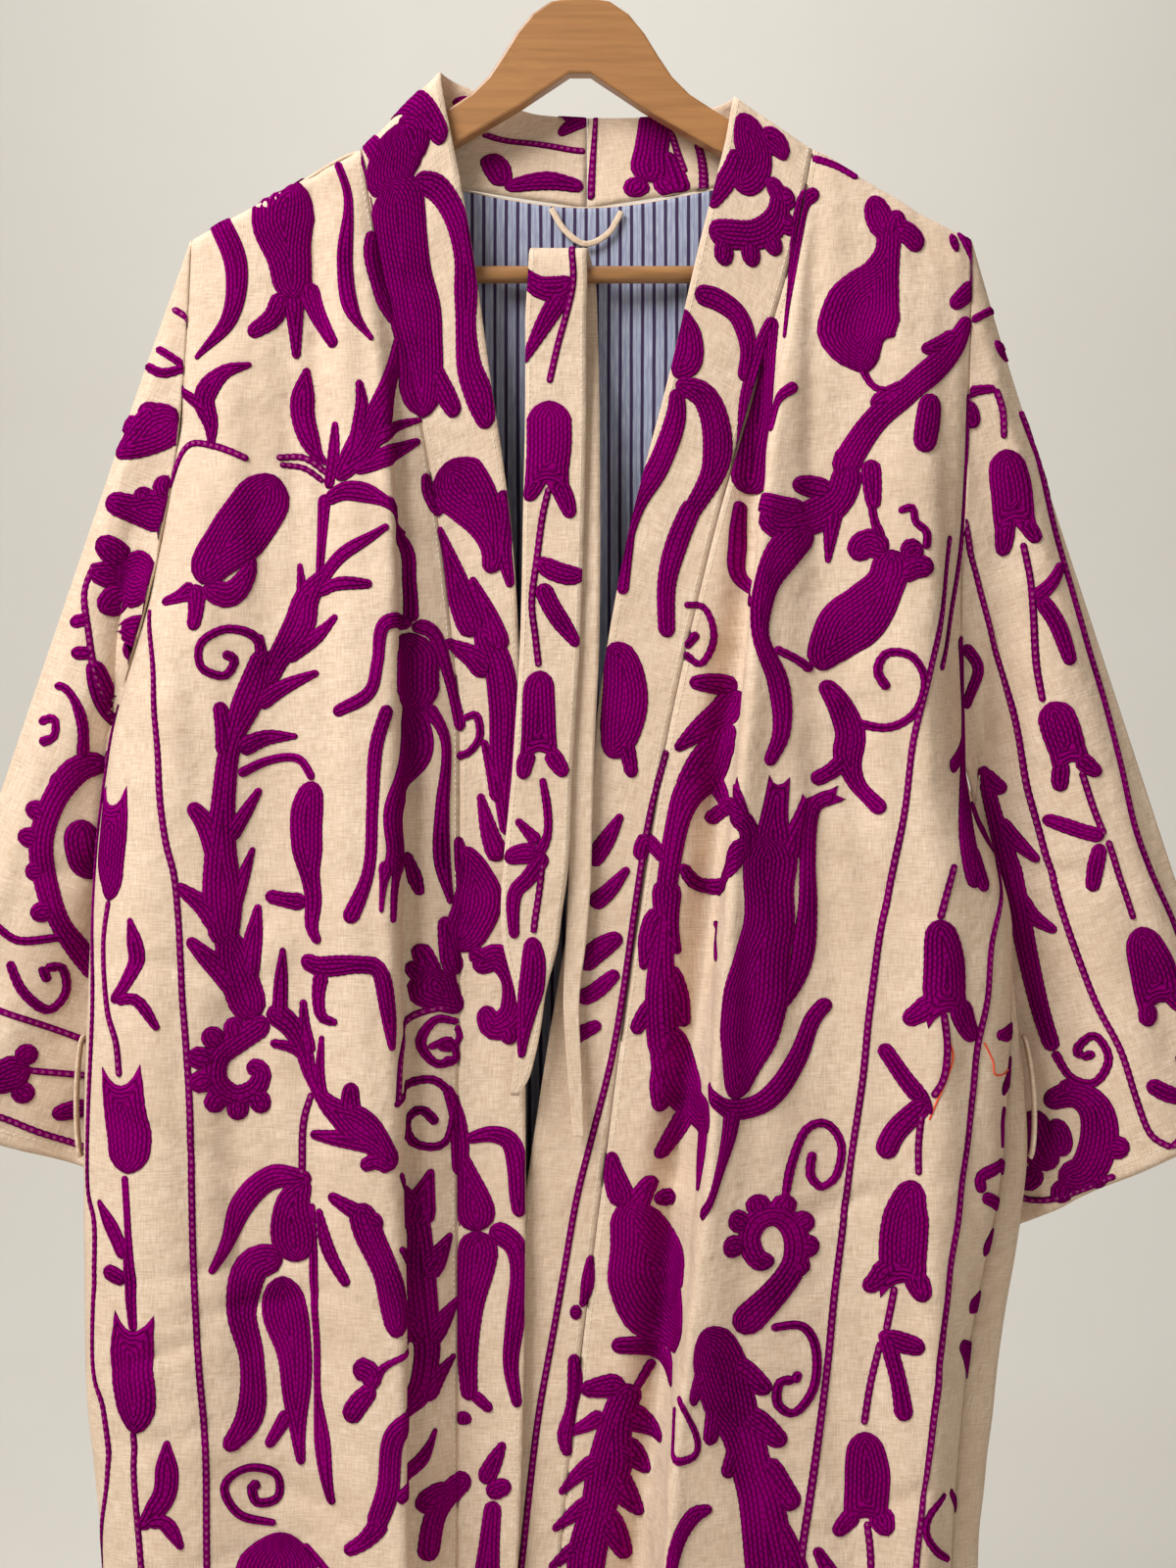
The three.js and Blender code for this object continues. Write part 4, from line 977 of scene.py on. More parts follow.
# %% Right front and its band
RIGHT_PATTERN = """
band head | 28 40 42 30 | -104 -134, -106 -146, -108 -160, -108 -176
band head right | 20 24 16 | -104 -132, -96 -142, -96 -158
band head left | 10 12 12 | -124 -142, -118 -150, -112 -160
neck stroke | 13 17 15 10 | -112 -126, -98 -122, -86 -132, -78 -144
band body | 36 38 36 34 36 32 28 18 | -108 -165, -106 -185, -104 -205, -101 -225, -97 -245, -94 -265, -92 -285,
  -90 -304
band body side | 8 10 10 12 6 | -121 -196, -121 -210, -118 -224, -114 -236, -108 -250
band body foot | 12 12 9 | -86 -275, -78 -290, -71 -303
band tongue | 10 14 14 13 15 13 15 17 10 | -96 -166, -82 -172, -72 -188, -67 -210, -66 -232, -66 -255, -64 -275,
  -58 -292, -53 -310
band dot | 9 11 | -70 -112, -64 -112
flower head | 28 34 30 22 15 13 | -78 -330, -72 -340, -62 -352, -54 -366, -50 -382, -52 -394
flower stem | 5 9 10 8 | -40 -402, -44 -380, -42 -360, -46 -346
flower back | 5 8 12 | -90 -336, -88 -348, -80 -360
band leaf one | 4 10 16 18 | -82 -367, -74 -390, -68 -410, -60 -430
band leaf two | 5 12 18 | -79 -433, -62 -442, -52 -452
band leaf three | 4 10 16 | -63 -396, -52 -420, -46 -440
band trunk | 13 17 18 17 12 8 | -58 -425, -48 -445, -44 -470, -44 -495, -44 -520, -42 -545
band leaf four | 4 8 12 | -56 -490, -50 -510, -46 -526
band leaf five | 4 10 14 | -58 -521, -52 -545, -46 -560
band curl | 4 5 5 5 5 | -68 -478, -60 -476, -58 -488, -64 -497, -72 -500
band lower body | 8 20 30 28 22 | -68 -552, -62 -566, -60 -584, -66 -600, -72 -612
band lower leaf a | 6 10 12 | -71 -546, -68 -566, -66 -580
band lower leaf b | 4 8 12 | -35 -621, -52 -618, -64 -612
band lower leaf c | 8 12 14 | -79 -592, -76 -612, -72 -626
band cloud | 13 16 16 18 16 10 | -62 -622, -48 -616, -38 -628, -38 -648, -50 -656, -56 -644
band cloud lobe | 12 12 | -26 -640, -38 -640
band cloud lobe two | 12 12 | -39 -666, -44 -652
band spiral | 4 5 5 6 | -88 -668, -76 -664, -72 -674, -80 -676
band lower stem | 6 10 12 10 | -78 -690, -72 -706, -70 -722, -70 -742
band arch | 6 10 12 12 8 | -66 -721, -51 -718, -40 -723, -36 -740, -35 -766
band bell | 6 14 22 26 | -70 -726, -66 -740, -62 -756, -58 -774
band body | 26 22 16 12 10 | -58 -774, -60 -792, -64 -816, -65 -846, -64 -872
band foot | 8 6 | -62 -868, -51 -878
band pair | 14 13 13 11 9 6 | -52 -772, -38 -782, -34 -800, -38 -830, -40 -852, -36 -876
band foot dot | 9 11 | -67 -878, -68 -886
low band crown a | 4 10 12 | -44 -896, -50 -908, -56 -920
low band crown b | 10 12 | -40 -920, -54 -926
low band stem | 12 16 14 12 | -64 -915, -76 -925, -84 -940, -88 -965
low band left | 14 18 16 | -96 -934, -86 -930, -76 -924
low band trunk | 10 12 15 12 | -50 -930, -52 -950, -54 -975, -56 -1000
low band trunk two | 8 15 18 15 8 | -58 -1010, -62 -1035, -64 -1060, -64 -1090, -62 -1115
low band leaf a | 4 9 12 | -86 -1026, -74 -1040, -66 -1052
low band leaf b | 4 9 12 | -41 -1035, -50 -1052, -58 -1064
low band leaf c | 4 9 12 | -88 -1076, -76 -1088, -66 -1098
low band bud | 10 20 22 12 | -64 -1140, -64 -1156, -66 -1172, -68 -1190
low band bud arm | 6 9 9 5 | -82 -1130, -84 -1150, -80 -1172, -86 -1190
low band bud arm two | 6 9 9 5 | -50 -1130, -50 -1150, -54 -1172, -50 -1190
low band end | 10 16 12 | -70 -1212, -66 -1228, -64 -1244
shoulder tongue | 14 15 11 3 | -210 -186, -199 -215, -203 -247, -222 -270
wide flower | 42 40 27 22 | -163 -169, -172 -187, -168 -215, -166 -236
its left petal | 14 12 9 | -172 -232, -178 -246, -192 -256
its middle petal | 14 9 5 | -166 -232, -165 -250, -164 -270
its right petal | 14 11 6 | -158 -226, -152 -243, -141 -263
slim stroke | 5 6 9 9 3 | -140 -157, -134 -178, -136 -215, -132 -242, -120 -259
middle leaf | 3 14 12 3 | -158 -275, -161 -300, -154 -322, -146 -331
left bud | 4 9 6 | -128 -282, -126 -300, -132 -325
tall leaf | 3 14 20 9 | -107 -258, -112 -287, -122 -315, -140 -340
right leaf | 4 12 8 | -93 -317, -112 -326, -132 -334
upper thorn | 3 7 9 | -92 -305, -107 -309, -118 -318
short leaf | 4 8 7 | -141 -306, -142 -325, -145 -345
crescent | 3 9 15 11 4 | -190 -273, -206 -278, -217 -292, -213 -308, -213 -322
its spur | 4 9 | -233 -286, -214 -300
arch stem | 4 4 4 | -237 -345, -227 -321, -212 -320, -192 -328
double stem | 4 4 | -176 -327, -160 -327, -146 -336
under stem | 3.5 3.5 | -174 -331, -160 -333, -148 -341
pomegranate | 24 33 34 27 17 | -177 -337, -185 -353, -198 -371, -212 -387, -219 -400
its left lobe | 16 8 5 | -222 -402, -233 -408, -241 -411
its low lobe | 14 10 8 | -222 -400, -222 -415, -224 -427
its right lobe | 12 15 11 5 | -218 -402, -203 -406, -193 -395, -190 -383
trunk top | 7 14 18 14 12 | -146 -392, -158 -408, -163 -425, -175 -444, -182 -458
trunk stem | 9 6 4 | -147 -348, -149 -375, -151 -400
stem across | 8 12 6 4 | -147 -352, -133 -346, -113 -352, -102 -372
trunk | 13 17 12 13 17 22 15 | -182 -438, -190 -462, -202 -492, -206 -520, -208 -552, -207 -582, -206 -610
lower trunk | 13 20 22 20 | -205 -600, -200 -620, -193 -640, -188 -652
trunk end | 15 12 10 8 13 22 18 12 | -180 -645, -168 -655, -160 -668, -155 -685, -146 -700, -130 -712, -118 -722,
  -108 -738
leaf one | 9 8 4 | -152 -400, -136 -382, -111 -366
leaf two | 7 8 5 | -152 -405, -140 -400, -120 -400
leaf three | 3 7 10 | -162 -388, -161 -408, -165 -425
leaf four | 4 9 12 | -140 -418, -156 -433, -172 -443
leaf five | 3 7 10 | -185 -429, -184 -445, -188 -460
leaf six | 4 9 12 | -151 -451, -172 -460, -188 -470
leaf seven | 8 10 12 | -209 -468, -206 -485, -205 -500
leaf eight | 3 9 12 | -163 -488, -182 -489, -198 -496
leaf nine | 4 8 10 | -185 -518, -195 -534, -204 -548
leaf ten | 8 12 12 | -226 -527, -216 -540, -210 -560
leaf eleven | 3 8 10 | -189 -552, -196 -572, -202 -590
leaf twelve | 6 11 14 | -234 -574, -218 -586, -208 -600
leaf thirteen | 4 12 14 | -186 -585, -190 -612, -194 -632
leaf fourteen | 6 12 14 | -227 -605, -210 -622, -198 -636
leaf fifteen | 3 8 9 | -172 -610, -173 -630, -174 -650
leaf sixteen | 4 7 10 | -160 -640, -159 -656, -156 -672
leaf seventeen | 5 7 10 | -179 -665, -166 -668, -154 -676
leaf eighteen | 3 6 8 | -149 -661, -150 -684, -148 -700
leaf nineteen | 9 13 14 | -132 -688, -132 -704, -124 -722
leaf twenty | 5 10 12 | -156 -718, -136 -721, -118 -724
leaf twentyone | 8 9 9 | -127 -737, -118 -734, -110 -738
spiral | 10 6 5 5 5 6 | -184 -452, -187 -432, -204 -426, -219 -434, -219 -448, -206 -453, -200 -444, -207 -440
arch to bud | 6 5 5 | -198 -510, -180 -502, -163 -501, -154 -513
bud | 12 19 18 11 9 5 | -154 -514, -158 -535, -157 -560, -154 -582, -155 -598, -151 -608
its thorn | 12 9 8 | -158 -584, -168 -583, -182 -580
cloud scroll | 14 14 14 14 13 12 10 | -180 -652, -198 -664, -210 -674, -211 -688, -200 -696, -188 -692, -184 -682,
  -193 -678
cloud lobe a | 13 13 | -201 -650, -199 -664
cloud lobe b | 13 13 | -217 -657, -208 -668
cloud lobe c | 13 13 | -227 -672, -213 -676
cloud lobe d | 13 13 | -226 -690, -213 -685
cloud lobe e | 13 13 | -215 -705, -207 -693
cloud lobe f | 13 13 | -198 -710, -198 -696
cloud lobe g | 13 13 | -181 -705, -189 -693
hook | 9 12 10 12 10 4 | -161 -616, -150 -621, -128 -620, -116 -624, -112 -645, -109 -670
hook under | 10 8 7 4 | -149 -624, -151 -638, -149 -650, -140 -654
droop stem | 6 6 7 | -112 -350, -102 -378, -99 -400, -98 -422
left arm | 9 9 8 8 7 | -97 -422, -113 -423, -117 -445, -122 -463, -142 -475
right arm | 9 8 7 8 | -97 -423, -84 -430, -76 -455, -69 -485
seed case | 12 30 30 26 | -99 -428, -99 -442, -99 -458, -98 -475
left tongue | 9 9 8 8 10 | -111 -470, -118 -495, -120 -530, -122 -565, -134 -596
middle tongue | 18 24 16 14 18 | -101 -470, -101 -498, -108 -530, -107 -555, -108 -570
middle split | 12 5 3 | -112 -560, -114 -575, -115 -590
middle split two | 12 6 4 | -105 -555, -108 -575, -109 -596
right split | 8 8 4 | -102 -555, -97 -568, -92 -580
right tongue | 8 6 8 10 4 | -88 -470, -78 -492, -80 -530, -80 -560, -75 -585
lobed cluster | 22 28 18 8 | -86 -622, -84 -632, -76 -640, -68 -646
its lobe a | 9 12 | -101 -619, -86 -630
its lobe b | 9 12 | -94 -608, -84 -628
its lobe c | 10 12 | -77 -598, -76 -622
long thread | 4 4 4 4 | -72 -644, -93 -648, -104 -668, -106 -700
spiral b | 4 5 5 5 6 | -71 -653, -84 -652, -92 -665, -84 -677, -72 -675
spiral b inner | 4.6 5 6 | -72 -655, -70 -662, -76 -668, -83 -666
spiral c | 4 5 5 5 5 5 6 | -108 -702, -100 -689, -84 -687, -74 -700, -78 -722, -94 -724, -101 -712, -92 -704, -83 -712
thread | 4 4 4 | -155 -694, -160 -712, -161 -742
drooping flower arm | 8 14 14 9 4 | -155 -744, -178 -743, -195 -758, -204 -780, -214 -799
its body | 8 20 26 22 | -158 -744, -166 -758, -166 -775, -163 -792
its left tongue | 17 20 16 14 16 9 | -172 -788, -190 -795, -196 -820, -190 -848, -191 -880, -205 -901
its middle tongue | 18 26 20 17 10 5 | -172 -800, -171 -818, -165 -848, -164 -876, -163 -893, -161 -909
its middle barb | 10 6 | -168 -878, -181 -899
its right tongue | 4 5 4 4 9 5 | -155 -758, -154 -800, -152 -840, -151 -875, -148 -905, -143 -932
its right barb | 4 9 6 | -151 -761, -145 -785, -134 -806
blunt stroke | 15 18 18 20 16 | -128 -758, -122 -775, -112 -798, -107 -822, -106 -836
leafy stem | 8 13 15 14 13 12 15 15 12 | -94 -752, -94 -772, -92 -800, -89 -826, -88 -848, -97 -872, -107 -893,
  -111 -925, -119 -947
leafy tip a | 3 12 20 | -86 -738, -91 -756, -95 -772
leafy tip b | 3 11 18 | -105 -741, -101 -757, -97 -773
its foot | 14 10 7 | -113 -940, -124 -953, -136 -960
upper left leaf | 6 10 12 | -145 -753, -126 -765, -114 -772
leaf e | 3 13 19 | -75 -775, -84 -791, -91 -801
leaf f | 3 11 17 | -105 -784, -98 -796, -93 -805
leaf g | 3 12 17 | -71 -812, -82 -829, -89 -839
leaf h | 3 10 14 | -73 -845, -83 -859, -91 -872
leaf i | 3 10 14 | -103 -814, -96 -829, -91 -839
low leaf i | 3 8 9 | -84 -888, -96 -910, -106 -930
sprig | 4 4 8 | -100 -838, -112 -852, -120 -864
sprig upper | 17 14 8 | -131 -852, -122 -856, -119 -866
sprig lower | 12 12 9 | -134 -884, -128 -874, -119 -864
spiral d | 4 5 5 5 5 5 5 7 | -176 -943, -197 -938, -206 -922, -193 -911, -176 -914, -175 -928, -187 -931, -190 -922,
  -185 -921
pomegranate two | 30 46 50 44 30 | -172 -948, -174 -965, -178 -990, -180 -1012, -181 -1030
its crown | 12 9 5 | -181 -1026, -196 -1040, -208 -1045
its crown two | 12 9 6 | -181 -1026, -181 -1042, -182 -1054
its crown three | 12 9 5 | -181 -1026, -168 -1040, -156 -1048
its stem | 5 5 | -160 -955, -150 -966, -142 -976
long chain | 4 | -248 -415, -246 -460, -241 -540, -234 -575, -230 -640, -226 -700, -224 -790, -221 -850, -217 -900,
  -216 -970, -214 -1060, -214 -1160, -215 -1258
outer chain | 4 | -266 -452, -272 -500, -279 -560, -281 -640, -284 -740, -280 -775, -281 -850, -275 -878, -273 -920,
  -274 -1000, -273 -1100, -272 -1180, -272 -1258
tulip | 24 26 26 20 8 | -270 -528, -271 -545, -272 -558, -271 -572, -272 -583
stem | 4 | -272 -583, -275 -610, -273 -645, -268 -665, -266 -685
leaf j | 3 10 8 6 | -260 -593, -256 -615, -262 -630, -270 -642
leaf k | 6 7 4 | -268 -641, -256 -641, -244 -658
tulip b | 24 25 25 24 14 | -265 -690, -263 -705, -261 -720, -261 -732, -261 -741
stem b | 4 4 7 5 | -263 -742, -261 -775, -260 -800, -258 -832
leaf l | 3 9 8 | -278 -756, -269 -775, -263 -790
leaf m | 10 10 | -275 -796, -262 -803
tulip c | 22 24 24 22 9 | -259 -832, -259 -850, -258 -868, -257 -880, -257 -891
stem c | 4 | -258 -890, -257 -925, -254 -960, -253 -990, -253 -1012
leaf n | 3 13 12 6 | -239 -895, -239 -922, -246 -936, -254 -946
leaf o | 7 9 4 | -250 -943, -240 -943, -230 -958
tulip d | 22 24 24 20 9 | -252 -1018, -251 -1034, -250 -1050, -250 -1064, -249 -1075
stem d | 4 | -249 -1075, -248 -1110, -248 -1150
leaf p | 3 9 8 | -262 -1092, -255 -1112, -250 -1126
leaf q | 3 9 8 | -235 -1096, -242 -1116, -247 -1130
tulip e | 20 24 24 18 8 | -248 -1156, -248 -1172, -247 -1188, -247 -1200, -247 -1212
stem e | 4 | -247 -1212, -247 -1240, -247 -1260
lower flower arm | 6 12 12 7 4 | -140 -985, -122 -988, -110 -1004, -104 -1024, -98 -1040
lower flower | 10 24 28 22 | -140 -985, -136 -1002, -134 -1020, -134 -1038
lower tongue | 14 18 14 8 | -142 -1030, -150 -1060, -148 -1090, -158 -1115
lower tongue two | 16 20 14 6 | -134 -1032, -132 -1065, -130 -1095, -128 -1122
lower tongue three | 6 8 9 5 | -124 -1026, -118 -1055, -116 -1080, -108 -1105
lower trunk b | 10 17 18 20 13 8 | -190 -1085, -188 -1108, -182 -1135, -178 -1165, -172 -1200, -160 -1232
lower leaf a | 4 10 12 | -208 -1084, -198 -1104, -188 -1120
lower leaf b | 4 9 10 | -163 -1102, -174 -1122, -182 -1140
lower leaf c | 4 10 12 | -206 -1135, -192 -1152, -180 -1168
lower leaf d | 4 9 10 | -155 -1142, -166 -1164, -174 -1180
lower leaf e | 4 9 10 | -194 -1186, -182 -1200, -172 -1212
lower spiral | 4 5 5 5 5 6 | -150 -1168, -136 -1155, -118 -1160, -114 -1176, -126 -1184, -134 -1175, -128 -1168
lower scroll | 14 20 20 16 10 | -118 -1205, -100 -1208, -92 -1224, -102 -1238, -116 -1232
"""

# %% [markdown]
# ### Left front and its band
#
# Each side has one table for the front and its band, because a motif may run from one onto the other. Every cloth then
# takes the strokes that are seen on it.

